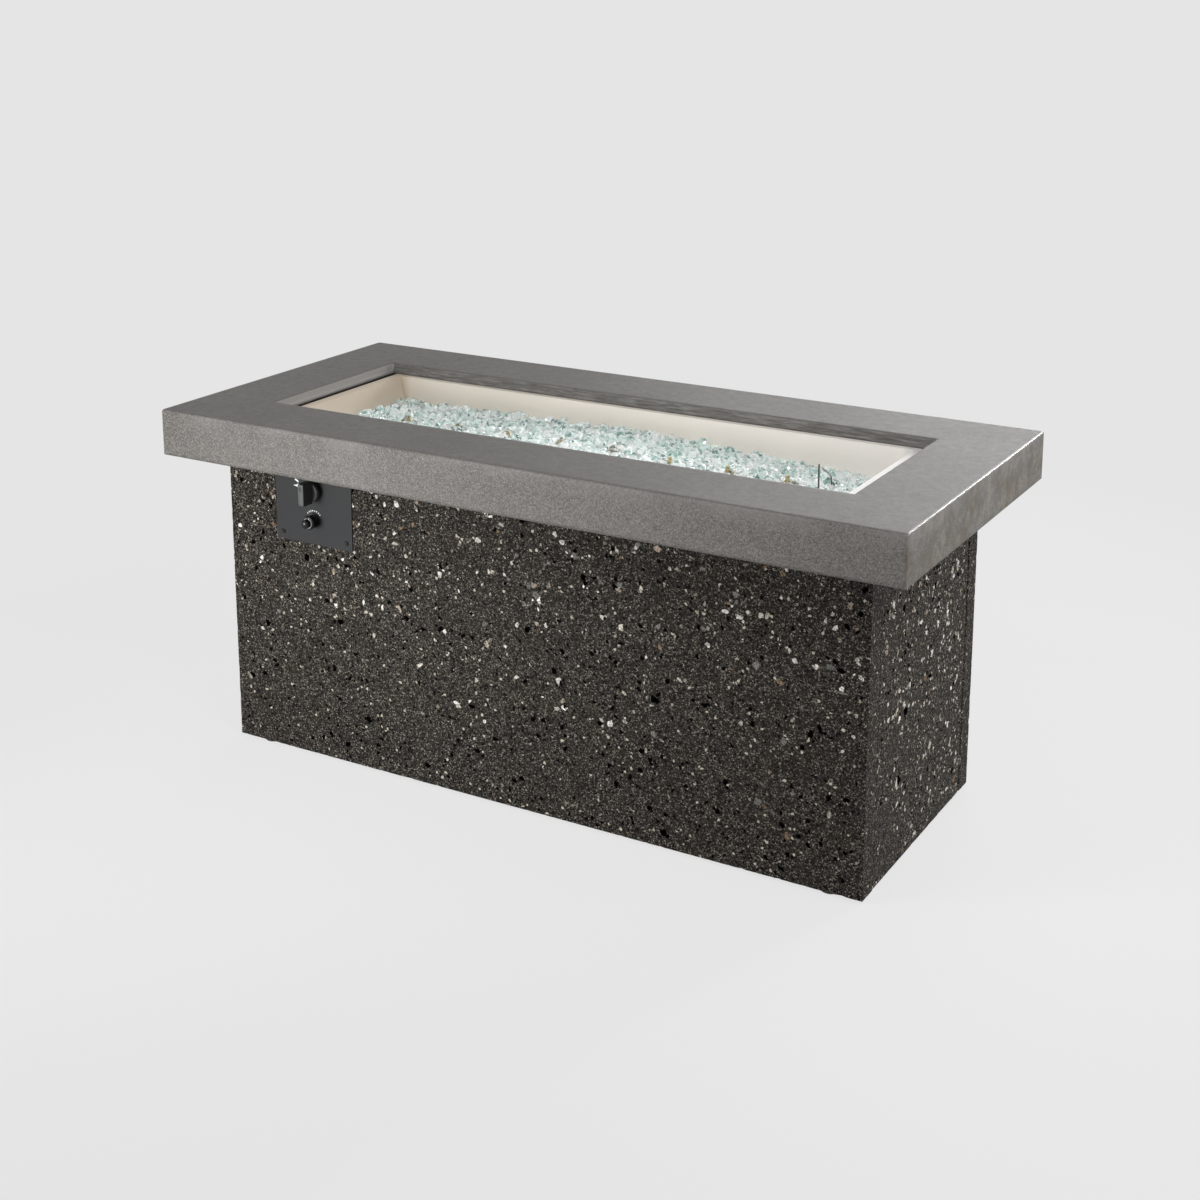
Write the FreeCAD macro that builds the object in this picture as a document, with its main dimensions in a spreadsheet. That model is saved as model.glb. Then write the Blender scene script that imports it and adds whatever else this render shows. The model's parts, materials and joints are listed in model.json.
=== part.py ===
import FreeCAD, Part
import math
import os
import re
import Sketcher

# Gas fire pit table: a cast top with a long burner opening, on a box of four cast panels.
# The front, with the control plate, faces -Y. The origin is on the floor under the middle.

os.makedirs("parts", exist_ok=True)


# Driving sizes, in millimetres

top_length = 1372
top_width = 630
top_height = 81
overall_height = 622
overhang = 80
top_skin = 20
apron_wall = 22
seat_wall = 32
seat_margin = 8
edge_round = 4
opening_length = 1098
opening_width = 350
opening_chamfer = 1.5
lip_depth = 12
lip_step = 3
facet_side = 8
boss_width = 40

foot_gap = 5
panel_depth = 40
panel_skin = 10
panel_rim = 20
long_side_rim = 75
end_side_rim = 40
panel_round = 2
rear_gap = 5

post_leg = 40
post_wall = 3
post_foot_gap = 5
panel_screw_inset = 118
post_screw_inset = 16
rail_side = 25
rail_wall = 2
rear_rail_drop = 11
tray_length = 360
tray_sheet = 2
tray_centre = 225
ring_radius = 120
ring_wall = 2
ring_height = 12

pad_radius = 17
pad_height = 4.7
stem_radius = 5
stem_length = 25
insert_radius = 8
insert_length = 28
front_foot_inset = 60
front_foot_setback = 22
rear_foot_inset = 20
rear_foot_setback = 65
running_fit = 0.05
seat_fit = 0.05
screw_fit = 0.1

flange_gap_end = 11
flange_gap_side = 2
pan_ledge_end = 16
pan_ledge_side = 11
pan_sheet = 1.5
pan_depth = 70
pan_end_slope = 0.27
pan_side_slope = 0.115
pan_rail_length = 1060
pan_rail_overlap = 9
pan_rail_leg = 27
pan_rail_wall = 3
rail_screw_spread = 445
rail_screw_setback = 8.5
skin_bite = 9

heap_left_drop = 57
heap_shoulder_drop = 52.5
heap_peak_drop = 48
heap_fall_drop = 54.5
heap_right_drop = 63
heap_shoulder_reach = 340
heap_fall_reach = 395
glass_fit = 0.3
pebble_size = 15
pebble_height = 13
pebble_top_size = 9
pebble_sink = 7
pebble_pitch = 72
pebble_row_pitch = 70
pebble_columns = 14
pebble_rows = 4

burner_shift = -11.5
burner_length = 800
burner_radius = 11
burner_wall = 1.2
burner_lift = 5
saddle_width = 20
saddle_spread = 280
saddle_wall = 1.5
saddle_rise = 6.5
jet_count = 8
jet_pitch = 107
jet_radius = 4.5
jet_tip_radius = 3
jet_bore = 1
jet_height = 19.5
jet_shoulder = 13
jet_taper = 1.5
jet_reach_in = 0.8
nipple_radius = 8
nipple_bore = 6
collar_radius = 13
collar_height = 2.5
nipple_reach_in = 2.5
locknut_height = 6
mixer_radius = 14
mixer_length = 65
mixer_drop = 18
mixer_engagement = 15
mixer_window = 22
mixer_window_width = 10
mixer_window_drop = 5
orifice_radius = 9
orifice_length = 30
orifice_bore = 1.2
orifice_shoulder = 2
orifice_throat = 3
mixer_chamfer = 2
mixer_taper = 6

ground_gap = 26.5
spark_spacing = 22
spark_setback = 5
ceramic_radius = 3.5
ceramic_height = 38
ceramic_tail = 22
spark_wire_radius = 1
ground_radius = 1.4
ground_height = 68
bracket_length = 46
bracket_end = 12
ceramic_collar = 1.5
ceramic_collar_height = 3
bracket_width = 18
bracket_sheet = 1.5

plate_inset = 106
plate_width = 163
plate_height = 130
plate_drop = 13
plate_sheet = 2
cutout_side = 23.5
cutout_end = 16
plate_screw_inset = 13
knob_drop = 33
control_pitch = 54

knob_radius = 18.5
knob_disc = 9
knob_clearance = 4
knob_recess = 3.5
screw_sweep = 0.5
grip_width = 13
grip_length = 40
grip_depth = 21
knob_push = 3
knob_chamfer = 1.2
grip_round = 1.4
valve_stem_radius = 4
stem_flat = 2.6
stem_reach = 21
stem_engagement = 7
stem_clearance = 1
plug_radius = 8
plug_length = 30
plug_setback = 12
plug_port_depth = 19
valve_radius = 16
valve_length = 50
valve_flange = 3
valve_flange_side = 34
valve_screw_pitch = 24
port_radius = 10
port_reach = 26
inlet_radius = 7.94
inlet_length = 14
fitting_radius = 9.5
fitting_length = 22
gas_bore = 4

housing_radius = 11
housing_bore = 6
housing_length = 64
housing_flange_radius = 13
housing_flange = 3
igniter_nut_radius = 16
igniter_nut_height = 6
cap_radius = 12
cap_wall = 1.8
cap_length = 14
cap_chamfer = 2
bezel_radius = 9.4
bezel_length = 2
bezel_chamfer = 0.6
button_radius = 7.6
button_proud = 12
button_flange = 9
button_flange_height = 2
button_chamfer = 1.5
button_fit = 0.3
battery_radius = 5.25
battery_length = 44.5
battery_nub_radius = 2.6
battery_nub = 1
battery_end_wall = 4
spring_space = 6
spring_radius = 4
spring_wire = 0.5
spring_pitch = 2

route_step = 10
hose_radius = 7
lead_radius = 2.5
clip_width = 9
clip_wall = 1
clip_length = 8
clip_count = 4
clip_start = 170
clip_finish = 130
lead_setback = 70
lead_boot = 6
pin_radius = 4
pin_reach = 20
pin_collar = 7
pin_inset = 156
catch_inset = 306
catch_length = 46
catch_height = 24
catch_fit = 0.3
catch_drop = 3
strike_height = 16
strike_sheet = 1.5
screw_radius = 3
screw_head = 5.5
screw_head_height = 3.5
screw_bite = 12
head_clearance = 0.5
hole_run_out = 1
small_screw = 2.4
small_screw_head = 4.4
small_screw_head_height = 2.2
small_screw_bite = 7
small_chamfer = 1
wide_chamfer = 3


# The document, with each size above as one named cell of its sheet

driving_sizes = {name: value for name, value in globals().items() if type(value) in (int, float)}
doc = FreeCAD.newDocument("fire_pit_table")
sheet = doc.addObject("Spreadsheet::Sheet", "Sizes")
for row, (alias, value) in enumerate(driving_sizes.items(), start=1):
    sheet.set(f"A{row}", alias.replace("_", " "))
    sheet.set(f"B{row}", str(value))
    sheet.setAlias(f"B{row}", alias)
doc.recompute()
nodes = []


# How sizes are read, and how simple pieces are placed and joined

QUARTER_TURNS = {
    "+Z": (FreeCAD.Vector(1, 0, 0), 0),
    "-Z": (FreeCAD.Vector(1, 0, 0), 180),
    "-Y": (FreeCAD.Vector(1, 0, 0), 90),
    "+Y": (FreeCAD.Vector(1, 0, 0), -90),
    "+X": (FreeCAD.Vector(0, 1, 0), 90),
    "-X": (FreeCAD.Vector(0, 1, 0), -90),
}


def linked(words):
    """A formula in the sheet's names, as an expression that an object's property is bound to."""
    return re.sub(r"\b[a-z][a-z_]*\b(?!\()", r"Sizes.\g<0>", str(words))


def number(words):
    """The present value of a formula in the sheet's names."""
    return float(sheet.evalExpression(linked(words)))


def place(item, x=0, y=0, z=0, facing="+Z"):
    """Puts an object's own origin at x, y, z, with its own Z turned to the way it faces."""
    axis, angle = QUARTER_TURNS[facing]
    item.Placement = FreeCAD.Placement(FreeCAD.Vector(), FreeCAD.Rotation(axis, angle))
    item.setExpression("Placement.Base.x", linked(x))
    item.setExpression("Placement.Base.y", linked(y))
    item.setExpression("Placement.Base.z", linked(z))
    return item


def primitive(kind, label, **formulas):
    """A Part primitive with its sizes bound to formulas."""
    item = doc.addObject("Part::" + kind, label)
    for name, words in formulas.items():
        item.setExpression(name, linked(words))
    return item


def block(label, x, y, z):
    """A box between two formulas on each axis, in either order."""
    sides = [f"abs(({b}) - ({a}))" for a, b in (x, y, z)]
    corner = [f"min(({a}); ({b}))" for a, b in (x, y, z)]
    item = primitive("Box", label, Length=sides[0], Width=sides[1], Height=sides[2])
    return place(item, *corner)


def rod(label, radius, length, x=0, y=0, z=0, facing="+Z"):
    """A round bar that starts at x, y, z and runs the way it faces."""
    return place(primitive("Cylinder", label, Radius=radius, Height=length), x, y, z, facing)


def hexagon(label, radius, height, x=0, y=0, z=0, facing="+Z"):
    """A hexagonal bar, such as a nut, by the radius to its corners."""
    item = primitive("Prism", label, Circumradius=radius, Height=height)
    item.Polygon = 6
    return place(item, x, y, z, facing)


def frustum(label, low, high, z):
    """A centred block whose half length and half width change from low to high between two heights."""
    item = primitive(
        "Wedge",
        label,
        Xmin=f"-({low[0]})",
        Xmax=low[0],
        Zmin=f"-({low[1]})",
        Zmax=low[1],
        X2min=f"-({high[0]})",
        X2max=high[0],
        Z2min=f"-({high[1]})",
        Z2max=high[1],
        Ymin="0",
        Ymax=f"({z[1]}) - ({z[0]})",
    )
    return place(item, 0, 0, z[0], "-Y")


def outline(sketch, points):
    """Draws a closed outline whose corners are each tied to their own two formulas."""
    corners = [FreeCAD.Vector(number(a), number(b), 0) for a, b in points]
    count = len(corners)
    for i in range(count):
        sketch.addGeometry(Part.LineSegment(corners[i], corners[(i + 1) % count]), False)
    for i in range(count):
        sketch.addConstraint(Sketcher.Constraint("Coincident", i, 2, (i + 1) % count, 1))
    for i, (a, b) in enumerate(points):
        for kind, axis, words in (("DistanceX", -2, a), ("DistanceY", -1, b)):
            if str(words) == "0":
                sketch.addConstraint(Sketcher.Constraint("PointOnObject", i, 1, axis))
            else:
                distance = Sketcher.Constraint(kind, -1, 1, i, 1, number(words))
                index = sketch.addConstraint(distance)
                sketch.setExpression(f"Constraints[{index}]", linked(words))


def sketch_on(body, role, points):
    """A sketch of one outline on one of a body's own origin planes."""
    sketch = body.newObject("Sketcher::SketchObject", body.Label + "_sketch")
    plane = [item for item in body.Origin.OriginFeatures if item.Role == role][0]
    sketch.AttachmentSupport = [(plane, "")]
    sketch.MapMode = "FlatFace"
    outline(sketch, points)
    return sketch


def turned(label, section, x=0, y=0, z=0, facing="+Z"):
    """A round body: its half section, in pairs of radius and height, turned about its own axis."""
    body = doc.addObject("PartDesign::Body", label)
    sketch = sketch_on(body, "XZ_Plane", section)
    turn = body.newObject("PartDesign::Revolution", label + "_turn")
    turn.Profile = sketch
    turn.ReferenceAxis = (sketch, ["V_Axis"])
    turn.Angle = 360
    body.Tip = turn
    return place(body, x, y, z, facing)


def padded(label, points, height, x=0, y=0, z=0, facing="+Z"):
    """A flat body: an outline in its own XY plane, raised along its own Z."""
    body = doc.addObject("PartDesign::Body", label)
    sketch = sketch_on(body, "XY_Plane", points)
    pad = body.newObject("PartDesign::Pad", label + "_pad")
    pad.Profile = sketch
    pad.setExpression("Length", linked(height))
    body.Tip = pad
    return place(body, x, y, z, facing)


def tube_section(outer, inner, low, high):
    """The half section of a plain tube."""
    return [(inner, low), (outer, low), (outer, high), (inner, high)]


def join(label, *pieces):
    """Several overlapping or touching shapes as one."""
    item = doc.addObject("Part::MultiFuse", label)
    item.Shapes = list(pieces)
    return item


def cut(label, base, *tools):
    """A shape with other shapes taken out of it."""
    item = doc.addObject("Part::Cut", label)
    item.Base = base
    item.Tool = tools[0] if len(tools) == 1 else join(label + "_tools", *tools)
    return item


def group(label, *pieces):
    """Identical loose pieces that share one node."""
    item = doc.addObject("Part::Compound", label)
    item.Links = list(pieces)
    return node(item)


def node(item, label=None):
    """Marks an object as a finished sub-part and gives it the sub-part's name."""
    if label:
        item.Label = label
    nodes.append(item)
    return item


def rounded(label, base, radius, wanted):
    """Rounds the edges of a shape for which wanted, a test on an edge, holds."""
    doc.recompute()
    item = doc.addObject("Part::Fillet", label)
    item.Base = base
    amount = number(radius)
    edges = enumerate(base.Shape.Edges, start=1)
    item.Edges = [(index, amount, amount) for index, edge in edges if wanted(edge)]
    return item


def upright(edge):
    """True for an edge that runs along Z."""
    first, last = edge.Vertexes[0].Point, edge.Vertexes[-1].Point
    return abs(first.x - last.x) < 0.01 and abs(first.y - last.y) < 0.01


def screw(label, x, y, z, facing, small=False, bite=None):
    """A screw whose head sits on x, y, z and faces the way named; its shank runs the other way."""
    prefix = "small_" if small else ""
    radius = prefix + "screw" if small else "screw_radius"
    head = prefix + "screw_head"
    tall = prefix + "screw_head_height"
    bite = bite or prefix + "screw_bite"
    section = [
        (0, 0),
        (radius, 0),
        (radius, bite),
        (head, bite),
        (head, f"{bite} + {tall} / 2"),
        (f"{head} - {tall} / 2", f"{bite} + {tall}"),
        (0, f"{bite} + {tall}"),
    ]
    way = {"X": x, "Y": y, "Z": z}
    sign = "-" if facing[0] == "+" else "+"
    way[facing[1]] = f"({way[facing[1]]}) {sign} ({bite})"
    return turned(label, section, way["X"], way["Y"], way["Z"], facing)


# Heights and planes that many pieces share

base_top = "(overall_height - top_height)"
skin_under = "(overall_height - top_skin)"
base_half_length = "(top_length / 2 - overhang)"
base_half_width = "(top_width / 2 - overhang)"
front_back = f"(-{base_half_width} + panel_depth)"
rear_front = f"({base_half_width} - panel_depth)"
end_inner = f"({base_half_length} - panel_depth)"
end_rear = f"({rear_front} - rear_gap)"
half_opening_x = "(opening_length / 2)"
half_opening_y = "(opening_width / 2)"
half_flange_x = f"({half_opening_x} - lip_step - flange_gap_end)"
half_flange_y = f"({half_opening_y} - lip_step - flange_gap_side)"
half_mouth_x = f"({half_flange_x} - pan_ledge_end)"
half_mouth_y = f"({half_flange_y} - pan_ledge_side)"


# Cast top: a thin skin with an apron, a seat wall over the base panels and four corner bosses

slab_block = block(
    "slab_block",
    ("-top_length / 2", "top_length / 2"),
    ("-top_width / 2", "top_width / 2"),
    (base_top, "overall_height"),
)
top_level = number("overall_height")
slab_blank = rounded(
    "slab_blank",
    slab_block,
    "edge_round",
    lambda edge: upright(edge) or all(abs(v.Z - top_level) < 0.01 for v in edge.Vertexes),
)
seat_half_x = f"({base_half_length} + seat_margin)"
seat_half_y = f"({base_half_width} + seat_margin)"
groove = cut(
    "slab_groove",
    block(
        "groove_outside",
        ("-top_length / 2 + apron_wall", "top_length / 2 - apron_wall"),
        ("-top_width / 2 + apron_wall", "top_width / 2 - apron_wall"),
        (base_top, skin_under),
    ),
    block(
        "groove_inside",
        (f"-{seat_half_x}", seat_half_x),
        (f"-{seat_half_y}", seat_half_y),
        (base_top, skin_under),
    ),
)
hollow_half_x = f"({seat_half_x} - seat_wall)"
hollow_half_y = f"({seat_half_y} - seat_wall)"
slab_hollow = block(
    "slab_hollow",
    (f"-{hollow_half_x}", hollow_half_x),
    (f"-{hollow_half_y}", hollow_half_y),
    (base_top, skin_under),
)
lip_level = "(overall_height - lip_depth)"
opening_upper = block(
    "opening_upper",
    (f"-{half_opening_x}", half_opening_x),
    (f"-{half_opening_y}", half_opening_y),
    (lip_level, "overall_height"),
)
opening_edge = frustum(
    "opening_edge",
    (half_opening_x, half_opening_y),
    (f"{half_opening_x} + opening_chamfer", f"{half_opening_y} + opening_chamfer"),
    ("overall_height - opening_chamfer", "overall_height"),
)
opening_lower = block(
    "opening_lower",
    (f"-{half_opening_x} + lip_step", f"{half_opening_x} - lip_step"),
    (f"-{half_opening_y} + lip_step", f"{half_opening_y} - lip_step"),
    (base_top, lip_level),
)
slab_shell = cut("slab_shell", slab_blank, groove, slab_hollow, opening_upper, opening_edge, opening_lower)


def facet_wedge(name, sign_x, sign_y):
    """The small slanting face that fills an upper corner of the opening towards the lip."""
    tip = number("facet_side")
    x, y = sign_x * number(half_opening_x), sign_y * number(half_opening_y)
    top = FreeCAD.Vector(x, y, number("overall_height"))
    low = number(lip_level)
    corner = FreeCAD.Vector(x, y, low)
    along = FreeCAD.Vector(x - sign_x * tip, y, low)
    across = FreeCAD.Vector(x, y - sign_y * tip, low)
    sides = [(top, corner, along), (top, corner, across), (top, along, across), (corner, along, across)]
    faces = [Part.Face(Part.makePolygon([a, b, c, a])) for a, b, c in sides]
    item = doc.addObject("Part::Feature", name)
    item.Shape = Part.makeSolid(Part.makeShell(faces))
    return item


post_outer_y = {"front": front_back, "rear": end_rear}
corners = []
for depth_name, sign_y in (("front", -1), ("rear", 1)):
    for side_name, sign_x in (("left", -1), ("right", 1)):
        corners.append((f"{depth_name}_{side_name}", depth_name, sign_x, sign_y))

slab_extras = []
for name, depth_name, sign_x, sign_y in corners:
    slab_extras.append(
        block(
            name + "_boss",
            (f"{sign_x} * ({half_opening_x} + lip_step)", f"{sign_x} * {hollow_half_x}"),
            (f"{sign_y} * {hollow_half_y}", f"{post_outer_y[depth_name]} - {sign_y} * boss_width"),
            (base_top, skin_under),
        )
    )
    slab_extras.append(facet_wedge(name + "_facet", sign_x, sign_y))
slab_solid = join("slab_solid", slab_shell, *slab_extras)

# Screw places in the post flanges, shared by the bosses, the posts and the screws

post_screw_x = f"({end_inner} - post_wall - screw_head - head_clearance)"


def post_screw_y(depth_name, sign_y):
    """The middle of a post's flange across the table."""
    return f"({post_outer_y[depth_name]} - {sign_y} * post_leg / 2)"


boss_holes = []
for name, depth_name, sign_x, sign_y in corners:
    boss_holes.append(
        rod(
            name + "_boss_hole",
            "screw_radius + screw_fit",
            "screw_bite + hole_run_out",
            f"{sign_x} * {post_screw_x}",
            post_screw_y(depth_name, sign_y),
            base_top,
        )
    )
rail_screw_x = ("-rail_screw_spread", "0", "rail_screw_spread")
rail_edge = f"({half_flange_y} - pan_rail_overlap)"
rail_screw_y = f"({rail_edge} + pan_rail_leg - rail_screw_setback)"
for sign_y in (-1, 1):
    for index, x in enumerate(rail_screw_x):
        boss_holes.append(
            rod(
                f"skin_hole_{sign_y + 1}_{index}",
                "small_screw + screw_fit",
                "skin_bite + hole_run_out",
                x,
                f"{sign_y} * {rail_screw_y}",
                skin_under,
            )
        )
node(cut("top_slab", slab_solid, *boss_holes))


# Cast base panels: shallow trays with their rims turned inwards

panel_x = (f"-{base_half_length}", base_half_length)
panel_z = ("foot_gap", base_top)
rim_z = ("foot_gap + panel_rim", f"{base_top} - panel_rim")
long_recess_x = (f"-{base_half_length} + long_side_rim", f"{base_half_length} - long_side_rim")

plate_left = f"(-{base_half_length} + plate_inset)"
plate_right = f"({plate_left} + plate_width)"
plate_top = f"({base_top} - plate_drop)"
plate_bottom = f"({plate_top} - plate_height)"
front_face = f"(-{base_half_width})"
plate_face = f"({front_face} - plate_sheet)"
control_x = f"({plate_left} + plate_width / 2)"
knob_z = f"({plate_top} - knob_drop)"
igniter_z = f"({knob_z} - control_pitch)"

front_foot_x = f"({base_half_length} - front_foot_inset)"
front_foot_y = f"({front_face} + front_foot_setback)"
rear_foot_x = f"({base_half_length} - rear_foot_inset)"
rear_foot_y = f"({base_half_width} - rear_foot_setback)"
feet = [
    ("front_left", f"-{front_foot_x}", front_foot_y),
    ("front_right", front_foot_x, front_foot_y),
    ("rear_left", f"-{rear_foot_x}", rear_foot_y),
    ("rear_right", rear_foot_x, rear_foot_y),
]


def insert_hole(name, x, y):
    """The hole that a foot's threaded insert is cast into."""
    depth = "insert_length + hole_run_out"
    return rod(name + "_insert_hole", "insert_radius + seat_fit", depth, x, y, "foot_gap")


panel_screw_z = ("(foot_gap + panel_screw_inset)", f"({base_top} - panel_screw_inset)")
leg_face_x = f"({end_inner} - post_wall)"
leg_face_y = f"({front_back} + post_wall)"
front_screw_x = f"({end_inner} - post_leg / 2)"


def leg_screws(name, depth_name, sign_x, sign_y):
    """Where the screws of one post stand: head seat, the way the head faces, and a name."""
    places = []
    inward = "-X" if sign_x > 0 else "+X"
    for index, z in enumerate(panel_screw_z):
        y = f"{post_outer_y[depth_name]} - {sign_y} * (post_leg - post_screw_inset)"
        places.append((f"{name}_end_{index}", f"{sign_x} * {leg_face_x}", y, z, inward))
        if depth_name == "front":
            x = f"{sign_x} * {front_screw_x}"
            places.append((f"{name}_face_{index}", x, leg_face_y, z, "+Y"))
    return places


OPPOSITE = {"+X": "-X", "-X": "+X", "+Y": "-Y", "-Y": "+Y", "+Z": "-Z", "-Z": "+Z"}
panel_screw_places = []
for corner in corners:
    panel_screw_places += leg_screws(*corner)


def screw_hole(place_of_screw, suffix):
    """The hole that a screw of a post passes through, from its head seat inwards."""
    name, x, y, z, facing = place_of_screw
    return rod(
        name + suffix,
        "screw_radius + screw_fit",
        "screw_bite + hole_run_out",
        x,
        y,
        z,
        OPPOSITE[facing],
    )


front_blank = rounded(
    "front_blank",
    block("front_block", panel_x, (front_face, front_back), panel_z),
    "panel_round",
    lambda edge: upright(edge) and edge.CenterOfMass.y < number(front_face) + 1,
)
plate_screws_at = []
for x in (f"{plate_left} + plate_screw_inset", f"{plate_right} - plate_screw_inset"):
    for z in (f"{plate_bottom} + plate_screw_inset", f"{plate_top} - plate_screw_inset"):
        plate_screws_at.append((f"({x})", f"({z})"))
front_cuts = [
    block(
        "front_recess",
        long_recess_x,
        (f"{front_face} + panel_skin", front_back),
        rim_z,
    ),
    block(
        "control_cutout",
        (f"{plate_left} + cutout_side", f"{plate_right} - cutout_side"),
        (front_face, f"{front_face} + panel_skin"),
        (f"{plate_bottom} + cutout_end", f"{plate_top} - cutout_end"),
    ),
]
for index, (x, z) in enumerate(plate_screws_at):
    hole = rod(
        f"plate_screw_hole_{index}",
        "small_screw + screw_fit",
        "small_screw_bite + hole_run_out",
        x,
        front_face,
        z,
        "+Y",
    )
    front_cuts.append(hole)
for name, x, y in feet[:2]:
    front_cuts.append(insert_hole(name, x, y))
for screw_place in panel_screw_places:
    if "face" in screw_place[0]:
        front_cuts.append(screw_hole(screw_place, "_panel_hole"))
node(cut("front_panel", front_blank, *front_cuts))

back_blank = rounded(
    "back_blank",
    block("back_block", panel_x, (rear_front, base_half_width), panel_z),
    "panel_round",
    lambda edge: upright(edge) and edge.CenterOfMass.y > number(base_half_width) - 1,
)
pin_x = f"({base_half_length} - pin_inset)"
pin_z = "(foot_gap + panel_rim / 2)"
back_cuts = [
    block(
        "back_recess",
        long_recess_x,
        (rear_front, f"{base_half_width} - panel_skin"),
        rim_z,
    )
]
for name, sign in (("left", "-"), ("right", "")):
    hole = rod(
        name + "_pin_hole",
        "pin_radius + running_fit",
        "pin_reach + hole_run_out",
        f"{sign}{pin_x}",
        rear_front,
        pin_z,
        "+Y",
    )
    back_cuts.append(hole)
node(cut("back_panel", back_blank, *back_cuts))

for side_name, sign in (("left", "-"), ("right", "")):
    end_block = block(
        side_name + "_end_block",
        (f"{sign}{end_inner}", f"{sign}{base_half_length}"),
        (front_back, end_rear),
        panel_z,
    )
    recess = block(
        side_name + "_end_recess",
        (f"{sign}{end_inner}", f"{sign}({base_half_length} - panel_skin)"),
        (f"{front_back} + end_side_rim", f"{end_rear} - end_side_rim"),
        rim_z,
    )
    end_cuts = [recess]
    for name, x, y in feet[2:]:
        if side_name in name:
            end_cuts.append(insert_hole(name, x, y))
    for screw_place in panel_screw_places:
        if side_name in screw_place[0] and "_end_" in screw_place[0]:
            end_cuts.append(screw_hole(screw_place, "_panel_hole"))
    node(cut(side_name + "_end_panel", end_block, *end_cuts))


# Steel inside the base: four angle posts, three square rails and the cylinder tray

post_bottom = "(foot_gap + post_foot_gap)"
for name, depth_name, sign_x, sign_y in corners:
    outer_x = f"{sign_x} * {end_inner}"
    inner_x = f"{sign_x} * ({end_inner} - post_leg)"
    outer_y = post_outer_y[depth_name]
    inner_y = f"{outer_y} - {sign_y} * post_leg"
    height = (post_bottom, base_top)
    end_leg = block(
        name + "_end_leg",
        (outer_x, f"{sign_x} * ({end_inner} - post_wall)"),
        (outer_y, inner_y),
        height,
    )
    face_leg = block(
        name + "_face_leg",
        (outer_x, inner_x),
        (outer_y, f"{outer_y} - {sign_y} * post_wall"),
        height,
    )
    flange = block(
        name + "_flange",
        (outer_x, inner_x),
        (outer_y, inner_y),
        (f"{base_top} - post_wall", base_top),
    )
    holes = [
        rod(
            name + "_flange_hole",
            "screw_radius + screw_fit",
            "2 * post_wall",
            f"{sign_x} * {post_screw_x}",
            post_screw_y(depth_name, sign_y),
            f"{base_top} - 1.5 * post_wall",
        )
    ]
    for screw_place in panel_screw_places:
        if screw_place[0].startswith(name):
            holes.append(screw_hole(screw_place, "_post_hole"))
    node(cut(name + "_post", join(name + "_angle", end_leg, face_leg, flange), *holes))

rail_x = (f"-{leg_face_x}", leg_face_x)
rail_low = f"({post_bottom})"
front_rail_y = (leg_face_y, f"{leg_face_y} + rail_side")
rear_leg_face = f"({end_rear} - post_wall)"
rear_rail_y = (rear_leg_face, f"{rear_leg_face} - rail_side")
upper_rail_top = f"({base_top} - rear_rail_drop)"


def rail(label, y, z, *holes):
    """A square steel tube between the end panels."""
    outside = block(label + "_bar", rail_x, y, z)
    low_y, high_y = (f"min(({y[0]}); ({y[1]}))", f"max(({y[0]}); ({y[1]}))")
    inside = block(
        label + "_inside",
        rail_x,
        (f"{low_y} + rail_wall", f"{high_y} - rail_wall"),
        (f"{z[0]} + rail_wall", f"{z[1]} - rail_wall"),
    )
    return node(cut(label, outside, inside, *holes))


pin_seats = []
for name, sign in (("left", "-"), ("right", "")):
    seat = rod(
        name + "_pin_seat",
        "pin_radius + seat_fit",
        "2 * rail_wall",
        f"{sign}{pin_x}",
        f"{rear_leg_face} - 1.5 * rail_wall",
        pin_z,
        "+Y",
    )
    pin_seats.append(seat)
rail("front_bottom_rail", front_rail_y, (rail_low, f"{rail_low} + rail_side"))
rail("rear_bottom_rail", rear_rail_y, (rail_low, f"{rail_low} + rail_side"), *pin_seats)
rail("rear_top_rail", rear_rail_y, (f"{upper_rail_top} - rail_side", upper_rail_top))

tray_level = f"({rail_low} + rail_side)"
tray_sheet_block = block(
    "tray_plate",
    ("tray_centre - tray_length / 2", "tray_centre + tray_length / 2"),
    (leg_face_y, rear_leg_face),
    (tray_level, f"{tray_level} + tray_sheet"),
)
tray_middle = f"(({leg_face_y} + {rear_leg_face}) / 2)"
tray_ring = turned(
    "tray_ring",
    tube_section("ring_radius", "ring_radius - ring_wall", 0, "ring_height"),
    "tray_centre",
    tray_middle,
    f"{tray_level} + tray_sheet",
)
node(join("cylinder_tray", tray_sheet_block, tray_ring))


# Levelling feet in threaded inserts, and what holds the removable back panel

inserts = []
for name, x, y in feet:
    section = [
        (0, 0),
        ("pad_radius - small_chamfer", 0),
        ("pad_radius", "small_chamfer"),
        ("pad_radius", "pad_height - small_chamfer"),
        ("pad_radius - small_chamfer", "pad_height"),
        ("stem_radius", "pad_height"),
        ("stem_radius", "pad_height + stem_length"),
        (0, "pad_height + stem_length"),
    ]
    node(turned(name + "_foot", section, x, y, 0))
    inserts.append(
        turned(
            name + "_insert",
            tube_section("insert_radius", "stem_radius + running_fit", 0, "insert_length"),
            x,
            y,
            "foot_gap",
        )
    )
group("foot_inserts", *inserts)

pins = []
for name, sign in (("left", "-"), ("right", "")):
    section = [
        (0, 0),
        ("pin_radius", 0),
        ("pin_radius", "rail_wall"),
        ("pin_collar", "rail_wall"),
        ("pin_collar", "2 * rail_wall"),
        ("pin_radius", "2 * rail_wall"),
        ("pin_radius", f"rail_wall + {rear_front} - {rear_leg_face} + pin_reach - small_chamfer"),
        ("pin_radius - small_chamfer", f"rail_wall + {rear_front} - {rear_leg_face} + pin_reach"),
        (0, f"rail_wall + {rear_front} - {rear_leg_face} + pin_reach"),
    ]
    y = f"{rear_leg_face} - rail_wall"
    pins.append(turned(name + "_pin", section, f"{sign}{pin_x}", y, pin_z, "+Y"))
group("locating_pins", *pins)

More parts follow.
